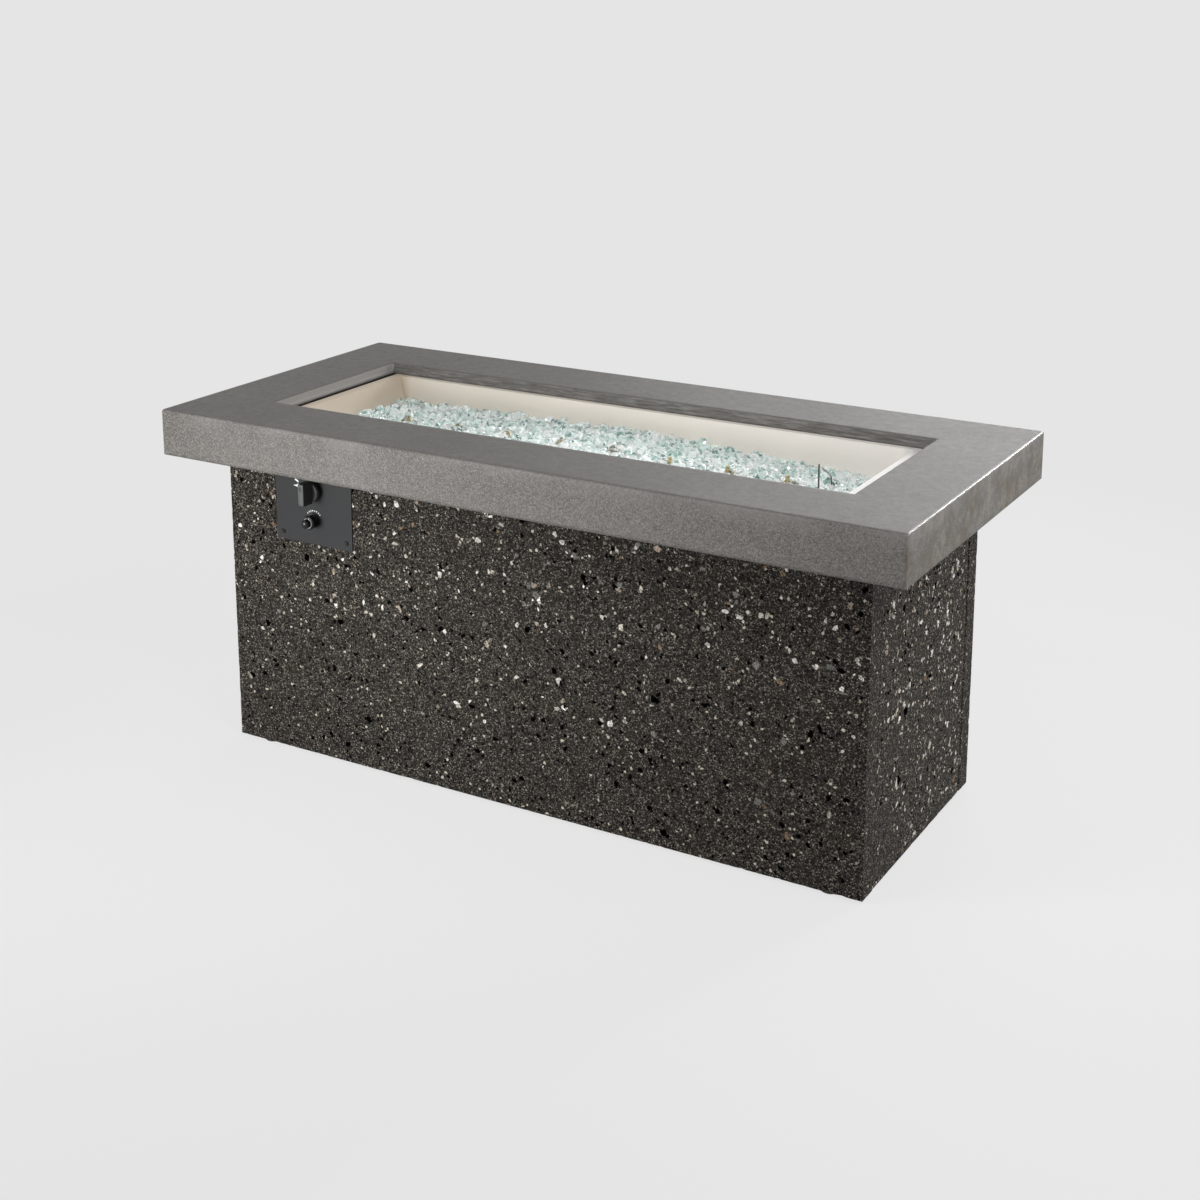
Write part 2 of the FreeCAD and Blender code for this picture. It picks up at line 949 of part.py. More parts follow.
catch_x = f"({base_half_length} - catch_inset)"
strike_face = f"({rear_front} - strike_sheet)"
strikes = []
for name, sign in (("left", -1), ("right", 1)):
    across = (f"{sign} * {catch_x} - catch_length / 2", f"{sign} * {catch_x} + catch_length / 2")
    low = f"({base_top} - catch_drop - catch_height)"
    magnet = block(
        name + "_catch_block",
        across,
        (rear_leg_face, f"{strike_face} - catch_fit"),
        (low, f"{low} + catch_height"),
    )
    node(magnet, f"{name}_magnetic_catch")
    strikes.append(
        block(
            name + "_strike",
            across,
            (strike_face, rear_front),
            (f"{base_top} - catch_drop - strike_height", f"{base_top} - catch_drop"),
        )
    )
group("strike_plates", *strikes)


# Burner pan on its two rails, with sloping walls and a narrow flange

pan_top = f"({skin_under} + pan_sheet)"
pan_floor = f"({pan_top} - pan_depth)"


def pan_half(z, inset):
    """The pan's half length and half width at a height, drawn in by an inset."""
    drop = f"({pan_top} - ({z}))"
    return (
        f"({half_mouth_x} - pan_end_slope * {drop} - ({inset}))",
        f"({half_mouth_y} - pan_side_slope * {drop} - ({inset}))",
    )


def pan_frustum(label, low, high, inset):
    """A block with the pan's own slopes between two heights."""
    return frustum(label, pan_half(low, inset), pan_half(high, inset), (low, high))


pan_under = f"({pan_floor} - pan_sheet)"
inlet_x = "burner_shift"
ground_at = "(burner_shift + burner_length / 2 + ground_gap)"
electrode_at = f"({ground_at} + spark_spacing)"
electrode_y = "spark_setback"
pan_flange = block(
    "pan_flange",
    (f"-{half_flange_x}", half_flange_x),
    (f"-{half_flange_y}", half_flange_y),
    (skin_under, pan_top),
)
node(
    cut(
        "burner_pan",
        join("pan_outside", pan_flange, pan_frustum("pan_trough", pan_under, pan_top, 0)),
        pan_frustum("pan_inside", pan_floor, f"{pan_top} + pan_sheet", "pan_sheet"),
        rod(
            "pan_inlet_hole",
            "nipple_radius + screw_fit",
            "3 * pan_sheet",
            inlet_x,
            0,
            f"{pan_under} - pan_sheet",
        ),
        rod(
            "pan_electrode_hole",
            "ceramic_radius + screw_fit",
            "3 * pan_sheet",
            electrode_at,
            electrode_y,
            f"{pan_under} - pan_sheet",
        ),
    )
)

for name, sign in (("front", -1), ("rear", 1)):
    x = ("-pan_rail_length / 2", "pan_rail_length / 2")
    outer_y = f"{sign} * ({rail_edge} + pan_rail_leg)"
    ledge = block(
        name + "_ledge",
        x,
        (f"{sign} * {rail_edge}", outer_y),
        (skin_under, f"{skin_under} - pan_rail_wall"),
    )
    skirt = block(
        name + "_skirt",
        x,
        (outer_y, f"{outer_y} - {sign} * pan_rail_wall"),
        (skin_under, f"{skin_under} - pan_rail_leg"),
    )
    holes = []
    for index, screw_x in enumerate(rail_screw_x):
        holes.append(
            rod(
                f"{name}_rail_hole_{index}",
                "small_screw + screw_fit",
                "2 * pan_rail_wall",
                screw_x,
                f"{sign} * {rail_screw_y}",
                f"{skin_under} - 1.5 * pan_rail_wall",
            )
        )
    node(cut(name + "_pan_rail", join(name + "_pan_angle", ledge, skirt), *holes))


# Burner tube with its row of jets, on two saddles, fed by a nipple through the pan's floor

burner_z = f"({pan_floor} + burner_lift + burner_radius)"
burner_left = "(burner_shift - burner_length / 2)"
jet_numbers = range(int(number("jet_count")))
jets_at = [f"(burner_shift + jet_pitch * ({index} - (jet_count - 1) / 2))" for index in jet_numbers]
jet_low = f"({burner_z} + burner_radius - burner_wall - jet_reach_in)"
tube_solid = rod("burner_bar", "burner_radius", "burner_length", burner_left, 0, burner_z, "+X")
tube_inside = rod(
    "burner_inside",
    "burner_radius - burner_wall",
    "burner_length - 2 * burner_wall",
    f"{burner_left} + burner_wall",
    0,
    burner_z,
    "+X",
)
tube_holes = [
    rod(f"jet_hole_{index}", "jet_radius + seat_fit", "burner_radius", x, 0, burner_z)
    for index, x in enumerate(jets_at)
]
tube_holes.append(
    rod("tube_inlet_hole", "nipple_radius + seat_fit", "burner_radius", inlet_x, 0, burner_z, "-Z")
)
node(cut("burner_tube", tube_solid, tube_inside, *tube_holes))

jet_section = [
    ("jet_bore", 0),
    ("jet_radius", 0),
    ("jet_radius", "jet_shoulder"),
    ("jet_tip_radius", "jet_shoulder + jet_taper"),
    ("jet_tip_radius", "jet_height"),
    ("jet_bore", "jet_height"),
]
jets = [turned(f"jet_{index}", jet_section, x, 0, jet_low) for index, x in enumerate(jets_at)]
group("burner_jets", *jets)

saddles = []
for name, sign in (("left", -1), ("right", 1)):
    middle = f"(burner_shift + {sign} * saddle_spread)"
    seat = block(
        name + "_saddle_block",
        (f"{middle} - saddle_width / 2", f"{middle} + saddle_width / 2"),
        ("-burner_radius - saddle_wall", "burner_radius + saddle_wall"),
        (pan_floor, f"{burner_z} - burner_radius + saddle_rise"),
    )
    cradle = rod(
        name + "_cradle",
        "burner_radius + seat_fit",
        "saddle_width + 2 * hole_run_out",
        f"{middle} - saddle_width / 2 - hole_run_out",
        0,
        burner_z,
        "+X",
    )
    saddles.append(cut(name + "_saddle", seat, cradle))
group("burner_saddles", *saddles)

nipple_low = f"({pan_under} - mixer_drop - mixer_engagement)"
nipple_top = f"({burner_z} - burner_radius + nipple_reach_in)"
nipple_length = f"({nipple_top} - {nipple_low})"
collar_at = f"({pan_floor} - {nipple_low})"
node(
    turned(
        "burner_inlet_nipple",
        [
            ("nipple_bore", 0),
            ("nipple_radius", 0),
            ("nipple_radius", collar_at),
            ("collar_radius", collar_at),
            ("collar_radius", f"{collar_at} + collar_height"),
            ("nipple_radius", f"{collar_at} + collar_height"),
            ("nipple_radius", nipple_length),
            ("nipple_bore", nipple_length),
        ],
        inlet_x,
        0,
        nipple_low,
    )
)
nut_bore = rod(
    "pan_nut_bore",
    "nipple_radius + seat_fit",
    "locknut_height",
    inlet_x,
    0,
    f"{pan_under} - locknut_height",
)
nut_blank = hexagon(
    "pan_nut_blank",
    "collar_radius",
    "locknut_height",
    inlet_x,
    0,
    f"{pan_under} - locknut_height",
)
node(cut("pan_locknut", nut_blank, nut_bore))

mixer_top = f"({nipple_low} + mixer_engagement)"
mixer_low = f"({mixer_top} - mixer_length)"
orifice_seat = "(orifice_length / 2)"
mixer_blank = turned(
    "mixer_blank",
    [
        ("orifice_radius - orifice_shoulder + seat_fit", 0),
        ("mixer_radius - mixer_chamfer", 0),
        ("mixer_radius", "mixer_chamfer"),
        ("mixer_radius", "mixer_length - mixer_chamfer"),
        ("mixer_radius - mixer_chamfer", "mixer_length"),
        ("nipple_radius + seat_fit", "mixer_length"),
        ("nipple_radius + seat_fit", "mixer_length - mixer_engagement"),
        ("nipple_bore", "mixer_length - mixer_engagement - mixer_chamfer"),
        ("nipple_bore", "mixer_length - mixer_engagement - mixer_chamfer - mixer_taper"),
        ("orifice_radius - orifice_shoulder + seat_fit", f"{orifice_seat} + mixer_chamfer"),
    ],
    inlet_x,
    0,
    mixer_low,
)
window_z = f"({mixer_low} + mixer_length / 2 - mixer_window_drop)"
window = block(
    "mixer_window_cut",
    (f"{inlet_x} - 2 * mixer_radius", f"{inlet_x} + 2 * mixer_radius"),
    ("-mixer_window_width / 2", "mixer_window_width / 2"),
    (f"{window_z} - mixer_window / 2", f"{window_z} + mixer_window / 2"),
)
node(cut("air_mixer", mixer_blank, window))

orifice_low = f"({mixer_low} - {orifice_seat})"
node(
    turned(
        "gas_orifice",
        [
            ("gas_bore", 0),
            ("orifice_radius", 0),
            ("orifice_radius", orifice_seat),
            ("orifice_radius - orifice_shoulder", orifice_seat),
            ("orifice_radius - orifice_shoulder", "orifice_length - small_chamfer"),
            ("orifice_radius - orifice_shoulder - small_chamfer", "orifice_length"),
            ("orifice_bore", "orifice_length"),
            ("orifice_bore", "orifice_length - orifice_throat"),
            ("gas_bore", "orifice_length - 2 * orifice_throat"),
        ],
        inlet_x,
        0,
        orifice_low,
    )
)


# Spark electrode, its ground rod and their bracket on the pan's floor

bracket_left = f"({ground_at} - bracket_end)"
bracket_top = f"({pan_floor} + bracket_sheet)"
bracket_blank = block(
    "bracket_plate",
    (bracket_left, f"{bracket_left} + bracket_length"),
    (f"{electrode_y} - bracket_width / 2", f"{electrode_y} + bracket_width / 2"),
    (pan_floor, bracket_top),
)
ceramic_hole = rod(
    "bracket_hole",
    "ceramic_radius + screw_fit",
    "3 * bracket_sheet",
    electrode_at,
    electrode_y,
    f"{pan_floor} - bracket_sheet",
)
node(cut("electrode_bracket", bracket_blank, ceramic_hole))

ceramic_low = f"({pan_under} - ceramic_tail)"
ceramic_length = f"({pan_floor} + ceramic_height - {ceramic_low})"
collar_seat = f"({bracket_top} - {ceramic_low})"
node(
    turned(
        "electrode_ceramic",
        [
            ("spark_wire_radius + seat_fit", 0),
            ("ceramic_radius", 0),
            ("ceramic_radius", collar_seat),
            ("ceramic_radius + ceramic_collar", collar_seat),
            ("ceramic_radius + ceramic_collar", f"{collar_seat} + ceramic_collar_height"),
            ("ceramic_radius", f"{collar_seat} + ceramic_collar_height"),
            ("ceramic_radius", f"{ceramic_length} - small_chamfer"),
            ("ceramic_radius - small_chamfer", ceramic_length),
            ("spark_wire_radius + seat_fit", ceramic_length),
        ],
        electrode_at,
        electrode_y,
        ceramic_low,
    )
)
node(
    turned(
        "ground_rod",
        [
            (0, 0),
            ("ground_radius", 0),
            ("ground_radius", "ground_height - ground_radius / 2"),
            ("ground_radius / 2", "ground_height"),
            (0, "ground_height"),
        ],
        ground_at,
        electrode_y,
        bracket_top,
    )
)


# Round tubes along a route: straight runs joined by tangent arcs as large as the runs allow


def route_wire(points):
    """A wire through straight runs and tangent arcs, with its least radius and its length."""
    share = 0.45
    edges = []
    start = points[0]
    least = math.inf
    for before, here, after in zip(points, points[1:], points[2:]):
        back = (before - here).normalize()
        ahead = (after - here).normalize()
        turn = math.pi - back.getAngle(ahead)
        reach = share * min((before - here).Length, (after - here).Length)
        radius = reach / math.tan(turn / 2)
        least = min(least, radius)
        enter = here + back * reach
        leave = here + ahead * reach
        bisector = (back + ahead).normalize()
        middle = here + bisector * (radius / math.cos(turn / 2) - radius)
        edges.append(Part.LineSegment(start, enter).toShape())
        edges.append(Part.Arc(enter, middle, leave).toShape())
        start = leave
    edges.append(Part.LineSegment(start, points[-1]).toShape())
    wire = Part.Wire(edges)
    return wire, least


def tube(label, points, radius, bore=0):
    """A round solid along a route, with a bore if one is given. Prints its least bend and volume."""
    wire, least = route_wire(points)
    way = points[1] - points[0]
    shapes = []
    for amount in (radius, bore):
        if amount:
            ring = Part.Wire(Part.makeCircle(amount, points[0], way))
            shell = Part.BRepOffsetAPI.MakePipeShell(wire)
            shell.add(ring)
            shell.build()
            shell.makeSolid()
            shapes.append(shell.shape())
    solid = shapes[0] if len(shapes) == 1 else shapes[0].cut(shapes[1])
    item = doc.addObject("Part::Feature", label)
    item.Shape = solid
    section = math.pi * (radius**2 - bore**2)
    ratio = solid.Volume / (section * wire.Length)
    print(f"{label}: length {wire.Length:.0f}, least bend {least:.1f}, volume ratio {ratio:.4f}")
    return item


def vector(x, y, z):
    """A point from three formulas."""
    return FreeCAD.Vector(number(x), number(y), number(z))


def steps(x, y, z):
    """An offset along a route, counted in route steps."""
    return FreeCAD.Vector(x, y, z) * number("route_step")


wire_low = vector(electrode_at, electrode_y, ceramic_low)
wire_top = number(f"{pan_floor} + ceramic_height")
wire_x = number(electrode_at)
ground_x = number(ground_at)
spark_points = [
    wire_low - steps(0, 0, number("lead_boot / route_step")),
    FreeCAD.Vector(wire_x, wire_low.y, wire_top) + steps(0, 0, 1.3),
    FreeCAD.Vector(wire_x, wire_low.y, wire_top) + steps(-0.8, 0, 2.1),
    FreeCAD.Vector(ground_x, wire_low.y, wire_top) + steps(0.6, 0, 2.5),
]
node(tube("electrode_wire", spark_points, number("spark_wire_radius")))


# Fire glass: one closed heap round the burner, highest near the middle and lowest at the right
# end, with the larger pebbles of its top layer standing out of it

glass_inset = "pan_sheet + glass_fit"
heap_ridge = [
    (f"(-{half_mouth_x})", "(overall_height - heap_left_drop)"),
    ("-heap_shoulder_reach", "(overall_height - heap_shoulder_drop)"),
    ("0", "(overall_height - heap_peak_drop)"),
    ("heap_fall_reach", "(overall_height - heap_fall_drop)"),
    (half_mouth_x, "(overall_height - heap_right_drop)"),
]
heap_profile = padded(
    "heap_profile",
    [(f"(-{half_mouth_x})", pan_under), (half_mouth_x, pan_under), *reversed(heap_ridge)],
    f"2 * {half_flange_y}",
    0,
    half_flange_y,
    0,
    "-Y",
)
glass_bed = doc.addObject("Part::Common", "glass_bed")
glass_bed.Base = pan_frustum("glass_room", pan_floor, pan_top, glass_inset)
glass_bed.Tool = heap_profile


def heap_height(x):
    """The height of the heap's top at x, as a formula along the run of its ridge that holds x."""
    for (left, low), (right, high) in zip(heap_ridge, heap_ridge[1:]):
        if number(x) <= number(right):
            return f"({low} + ({high} - {low}) * ({x} - ({left})) / ({right} - ({left})))"


def pebble(label, x, y, count):
    """One large pebble as a chunk that narrows upwards, turned its own way and part sunk in the heap."""
    yaw, pitch, roll = 53 * count % 180, 31 * count % 44 - 22, 17 * count % 44 - 22
    low = ("pebble_size / 2", "pebble_size / 2 * 0.85")
    high = ("pebble_top_size / 2", "pebble_top_size / 2")
    item = frustum(label, low, high, ("0", "pebble_height"))
    turn = FreeCAD.Rotation(yaw, pitch, roll).multiply(item.Placement.Rotation)
    item.Placement = FreeCAD.Placement(FreeCAD.Vector(), turn)
    item.setExpression("Placement.Base.x", linked(x))
    item.setExpression("Placement.Base.y", linked(y))
    item.setExpression("Placement.Base.z", linked(f"{heap_height(x)} - pebble_sink"))
    return item


pebbles = []
for row in range(int(number("pebble_rows"))):
    for column in range(int(number("pebble_columns"))):
        shift = 0.25 if row % 2 else -0.25
        x = f"(pebble_pitch * ({column} - (pebble_columns - 1) / 2 + ({shift})))"
        y = f"(pebble_row_pitch * ({row} - (pebble_rows - 1) / 2))"
        pebbles.append(pebble(f"pebble_{row}_{column}", x, y, len(pebbles)))
for index in jet_numbers:
    x = f"(burner_shift + jet_pitch * ({index} - jet_count / 2))"
    pebbles.append(pebble(f"middle_pebble_{index}", x, "0", len(pebbles)))
channel_half = "(max(burner_radius + saddle_wall; collar_radius) + glass_fit)"
glass_cuts = [
    block(
        "burner_channel",
        (f"{burner_left} - glass_fit", f"{burner_left} + burner_length + glass_fit"),
        (f"-{channel_half}", channel_half),
        (pan_floor, f"{burner_z} + burner_radius + glass_fit"),
    ),
    block(
        "bracket_channel",
        (f"{bracket_left} - glass_fit", f"{bracket_left} + bracket_length + glass_fit"),
        (
            f"{electrode_y} - bracket_width / 2 - glass_fit",
            f"{electrode_y} + bracket_width / 2 + glass_fit",
        ),
        (pan_floor, f"{bracket_top} + glass_fit"),
    ),
    rod(
        "ceramic_channel",
        "ceramic_radius + ceramic_collar + glass_fit",
        "pan_depth",
        electrode_at,
        electrode_y,
        pan_floor,
    ),
    rod(
        "ground_channel",
        "ground_radius + glass_fit",
        "pan_depth",
        ground_at,
        electrode_y,
        pan_floor,
    ),
]
for index, x in enumerate(jets_at):
    glass_cuts.append(rod(f"jet_channel_{index}", "jet_radius + glass_fit", "pan_depth", x, 0, pan_floor))
node(cut("fire_glass", join("glass_heap", glass_bed, *pebbles), *glass_cuts))


# Control plate on the front panel, with holes for the valve stem, the igniter and the screws

plate_blank = padded(
    "plate_blank",
    [(0, 0), ("plate_width", 0), ("plate_width", "plate_height"), (0, "plate_height")],
    "plate_sheet",
    plate_left,
    front_face,
    plate_bottom,
    "-Y",
)
plate_holes = [
    rod(
        "stem_hole",
        "valve_stem_radius + stem_clearance",
        "3 * plate_sheet",
        control_x,
        front_face,
        knob_z,
        "-Y",
    ),
    rod(
        "igniter_hole",
        "housing_radius + seat_fit",
        "3 * plate_sheet",
        control_x,
        front_face,
        igniter_z,
        "-Y",
    ),
]
for index, (x, z) in enumerate(plate_screws_at):
    plate_holes.append(
        rod(f"plate_hole_{index}", "small_screw + screw_fit", "3 * plate_sheet", x, front_face, z, "-Y")
    )
for index, sign in enumerate((-1, 1)):
    plate_holes.append(
        rod(
            f"valve_screw_hole_{index}",
            "small_screw + screw_fit",
            "3 * plate_sheet",
            control_x,
            front_face,
            f"{knob_z} + {sign} * valve_screw_pitch / 2",
            "-Y",
        )
    )
node(cut("control_plate", plate_blank, *plate_holes))


# Gas valve behind the plate, its turning stem, and the fittings on its two ports

valve_blank = turned(
    "valve_blank",
    [
        (0, 0),
        ("valve_radius", 0),
        ("valve_radius", "valve_length - wide_chamfer"),
        ("valve_radius - wide_chamfer", "valve_length"),
        (0, "valve_length"),
    ],
    control_x,
    front_face,
    knob_z,
    "+Y",
)
valve_flange_block = block(
    "valve_flange_block",
    (f"{control_x} - valve_flange_side / 2", f"{control_x} + valve_flange_side / 2"),
    (front_face, f"{front_face} + valve_flange"),
    (f"{knob_z} - valve_flange_side / 2", f"{knob_z} + valve_flange_side / 2"),
)
port_y = f"({front_face} + plug_setback + plug_port_depth)"
ports = rod(
    "valve_ports",
    "port_radius",
    "2 * port_reach",
    f"{control_x} - port_reach",
    port_y,
    knob_z,
    "+X",
)
port_bore = rod(
    "port_bore",
    "gas_bore",
    "2 * port_reach + 2 * hole_run_out",
    f"{control_x} - port_reach - hole_run_out",
    port_y,
    knob_z,
    "+X",
)
stem_bore = rod(
    "stem_bore",
    "valve_stem_radius + running_fit",
    "plug_setback",
    control_x,
    front_face,
    knob_z,
    "+Y",
)
plug_bore = rod(
    "plug_bore",
    "plug_radius + running_fit",
    "plug_length + 2 * running_fit",
    control_x,
    f"{front_face} + plug_setback - running_fit",
    knob_z,
    "+Y",
)
valve_screw_bores = []
for index, sign in enumerate((-1, 1)):
    valve_screw_bores.append(
        rod(
            f"valve_screw_bore_{index}",
            "small_screw + screw_fit",
            "small_screw_bite + hole_run_out",
            control_x,
            front_face,
            f"{knob_z} + {sign} * valve_screw_pitch / 2",
            "+Y",
        )
    )
valve_solid = join("valve_solid", valve_blank, valve_flange_block, ports)
node(cut("gas_valve", valve_solid, port_bore, stem_bore, plug_bore, *valve_screw_bores))

plug_round = rod(
    "plug_round",
    "plug_radius",
    "plug_length",
    control_x,
    f"{front_face} + plug_setback",
    knob_z,
    "+Y",
)
plug_port = rod(
    "plug_port",
    "gas_bore",
    "3 * plug_radius",
    control_x,
    port_y,
    f"{knob_z} - 1.5 * plug_radius",
)


def flatted(label, radius, flat, start, finish):
    """A round bar along Y with one flat, between two places on the control axis."""
    bar = rod(label + "_bar", radius, f"({finish}) - ({start})", control_x, start, knob_z, "+Y")
    side = block(
        label + "_side",
        (f"{control_x} - 2 * ({radius})", f"{control_x} + 2 * ({radius})"),
        (start, finish),
        (f"{knob_z} + {flat}", f"{knob_z} + 2 * ({radius})"),
    )
    return cut(label, bar, side)


stem_tip = f"({plate_face} - stem_reach)"
stem_root = f"({front_face} + plug_setback + stem_engagement)"
plug_socket = flatted(
    "plug_socket",
    "valve_stem_radius + running_fit",
    "stem_flat + running_fit",
    f"{front_face} + plug_setback",
    f"{stem_root} + knob_push + running_fit",
)
node(cut("valve_plug", plug_round, plug_port, plug_socket))
node(flatted("valve_stem", "valve_stem_radius", "stem_flat", stem_tip, stem_root))

inlet_blank = join(
    "inlet_blank",
    hexagon(
        "inlet_hex",
        "fitting_radius",
        "fitting_length / 2",
        f"{control_x} - port_reach",
        port_y,
        knob_z,
        "-X",
    ),
    rod(
        "inlet_thread",
        "inlet_radius",
        "inlet_length",
        f"{control_x} - port_reach - fitting_length / 2",
        port_y,
        knob_z,
        "-X",
    ),
)
inlet_bore = rod(
    "inlet_bore",
    "gas_bore",
    "fitting_length + inlet_length",
    f"{control_x} - port_reach",
    port_y,
    knob_z,
    "-X",
)
node(cut("gas_inlet_fitting", inlet_blank, inlet_bore))

outlet_end = f"({control_x} + port_reach + fitting_length)"
outlet_blank = hexagon(
    "outlet_hex",
    "fitting_radius",
    "fitting_length",
    f"{control_x} + port_reach",
    port_y,
    knob_z,
    "+X",
)
outlet_bore = rod(
    "outlet_bore",
    "gas_bore",
    "fitting_length",
    f"{control_x} + port_reach",
    port_y,
    knob_z,
    "+X",
)
node(cut("gas_outlet_fitting", outlet_blank, outlet_bore))

hose_start = vector(outlet_end, port_y, knob_z)
hose_end = vector(inlet_x, 0, orifice_low)
hose_points = [
    hose_start,
    hose_start + steps(8, 0, 0),
    hose_start + steps(15, 3, -7),
    hose_start + steps(17.5, 7, -16.5),
    hose_end + steps(-11.5, -8, -20),
    hose_end + steps(-3.5, -2.5, -19),
    hose_end + steps(0, 0, -9.5),
    hose_end,
]
node(tube("gas_connector_hose", hose_points, number("hose_radius"), number("gas_bore")))


# Control knob: a disc with a bar grip, bored for the flat of the stem

knob_back = f"({plate_face} - knob_clearance)"
knob_hub = "valve_screw_pitch / 2 - small_screw_head - screw_sweep"
knob_mouth = "valve_screw_pitch / 2 + small_screw_head + screw_sweep"
disc = turned(
    "knob_disc_body",
    [
        (0, 0),
        (knob_hub, 0),
        (knob_hub, "knob_recess"),
        (knob_mouth, "knob_recess"),
        (knob_mouth, 0),
        ("knob_radius", 0),
        ("knob_radius", "knob_disc - knob_chamfer"),
        ("knob_radius - knob_chamfer", "knob_disc"),
        (0, "knob_disc"),
    ],
    control_x,
    knob_back,
    knob_z,
    "-Y",
)
grip_block = block(
    "grip_block",
    (f"{control_x} - grip_width / 2", f"{control_x} + grip_width / 2"),
    (f"{knob_back} - knob_disc / 2", f"{knob_back} - knob_disc - grip_depth"),
    (f"{knob_z} - grip_length / 2", f"{knob_z} + grip_length / 2"),
)
grip = rounded(
    "knob_grip",
    grip_block,
    "grip_round",
    lambda edge: edge.CenterOfMass.y < number(f"{knob_back} - knob_disc"),
)
knob_bore = flatted(
    "knob_bore",
    "valve_stem_radius + seat_fit",
    "stem_flat + seat_fit",
    f"{stem_tip} - seat_fit",
    knob_back,
)
node(cut("control_knob", join("knob_solid", disc, grip), knob_bore))


# Push-button igniter: housing through the plate, locknut, battery, cap, bezel and button

housing_front = f"({plate_face} - housing_flange)"
node(
    turned(
        "igniter_housing",
        [
            ("housing_bore", 0),
            ("housing_flange_radius", 0),
            ("housing_flange_radius", "housing_flange"),
            ("housing_radius", "housing_flange"),
            ("housing_radius", "housing_length - battery_end_wall"),
            ("housing_radius - wide_chamfer", "housing_length"),
            (0, "housing_length"),
            (0, "housing_length - battery_end_wall"),
            ("housing_bore", "housing_length - battery_end_wall"),
        ],
        control_x,
        housing_front,
        igniter_z,
        "+Y",
    )
)
igniter_nut_blank = hexagon(
    "igniter_nut_blank",
    "igniter_nut_radius",
    "igniter_nut_height",
    control_x,
    front_face,
    igniter_z,
    "+Y",
)
igniter_nut_bore = rod(
    "igniter_nut_bore",
    "housing_radius + seat_fit",
    "igniter_nut_height",
    control_x,
    front_face,
    igniter_z,
    "+Y",
)
node(cut("igniter_locknut", igniter_nut_blank, igniter_nut_bore))
spring_end = f"({housing_front} + housing_length - battery_end_wall)"
spring_rest = vector(control_x, f"{spring_end} - spring_wire - 2 * seat_fit", igniter_z)
spring_rise = number("spring_space - 2 * spring_wire - 4 * seat_fit")
steps_per_turn = 6
spring_steps = int(steps_per_turn * spring_rise / spring_pitch)
spring_points = []
for step in range(spring_steps + 1):
    angle = 2 * math.pi * step / steps_per_turn
    corner_radius = spring_radius / math.cos(math.pi / steps_per_turn)
    across = FreeCAD.Vector(math.cos(angle), 0, math.sin(angle)) * corner_radius
    along = FreeCAD.Vector(0, -spring_rise * step / spring_steps, 0)
    spring_points.append(spring_rest + across + along)
node(tube("battery_spring", spring_points, spring_wire))
battery_depth = "(housing_length - battery_end_wall - spring_space - battery_length)"
node(
    turned(
        "igniter_battery",
        [
            (0, 0),
            ("battery_nub_radius", 0),
            ("battery_nub_radius", "battery_nub"),
            ("battery_radius", "battery_nub"),
            ("battery_radius", "battery_length"),
            (0, "battery_length"),
        ],
        control_x,
        f"{housing_front} + {battery_depth}",
        igniter_z,
        "+Y",
    )
)
node(
    turned(
        "igniter_cap",
        [
            ("button_flange + button_fit", 0),
            ("cap_radius", 0),
            ("cap_radius", "cap_length - cap_chamfer"),
            ("cap_radius - cap_chamfer", "cap_length"),
            ("button_radius + button_fit", "cap_length"),
            ("button_radius + button_fit", "cap_length - cap_wall"),
            ("button_flange + button_fit", "cap_length - cap_wall"),
        ],
        control_x,
        housing_front,
        igniter_z,
        "-Y",
    )
)
cap_front = f"({housing_front} - cap_length)"
node(
    turned(
        "igniter_bezel",
        [
            ("button_radius + button_fit", 0),
            ("bezel_radius", 0),
            ("bezel_radius", "bezel_length - bezel_chamfer"),
            ("bezel_radius - bezel_chamfer", "bezel_length"),
            ("button_radius + button_fit", "bezel_length"),
        ],
        control_x,
        cap_front,
        igniter_z,
        "-Y",
    )
)
button_back = f"({cap_front} + cap_wall + button_fit + button_flange_height)"
button_length = f"({button_back} - {cap_front} + button_proud)"
node(
    turned(
        "igniter_button",
        [
            (0, 0),
            ("button_flange", 0),
            ("button_flange", "button_flange_height"),
            ("button_radius", "button_flange_height"),
            ("button_radius", f"{button_length} - button_chamfer"),
            ("button_radius - button_chamfer", button_length),
            (0, button_length),
        ],
        control_x,
        button_back,
        igniter_z,
        "-Y",
    )
)


# Ignition lead from the igniter to the electrode, held by clips under the pan

lead_start = vector(control_x, f"{housing_front} + housing_length", igniter_z)
lead_end = vector(electrode_at, electrode_y, f"{ceramic_low} - lead_boot")
lead_level = number(f"{pan_under} - clip_width / 2 - clip_wall / 2")
lead_y = number("-lead_setback")
clip_first = lead_start.x + clip_start
clip_last = lead_end.x - clip_finish
clip_step = (clip_last - clip_first) / (clip_count - 1)
clip_places = [clip_first + clip_step * index for index in range(clip_count)]
lead_points = [
    lead_start,
    lead_start + steps(0, 4, 0),
    lead_start + steps(2.2, 7.2, 2.6),
    FreeCAD.Vector(lead_start.x, lead_y, lead_level) + steps(7.2, 0, -2.4),
    FreeCAD.Vector(lead_start.x, lead_y, lead_level) + steps(12.8, 0, 0),
    FreeCAD.Vector(lead_end.x, lead_y, lead_level) + steps(-10, 0, 0),
    FreeCAD.Vector(lead_end.x, lead_y, lead_level) + steps(-5.4, 0.9, -1.9),
    lead_end + steps(-2.8, -5.2, -3.6),
    lead_end + steps(-1, -2.6, -6.2),
    lead_end + steps(0, 0, -5),
    lead_end,
]
node(tube("ignition_lead", lead_points, number("lead_radius")))

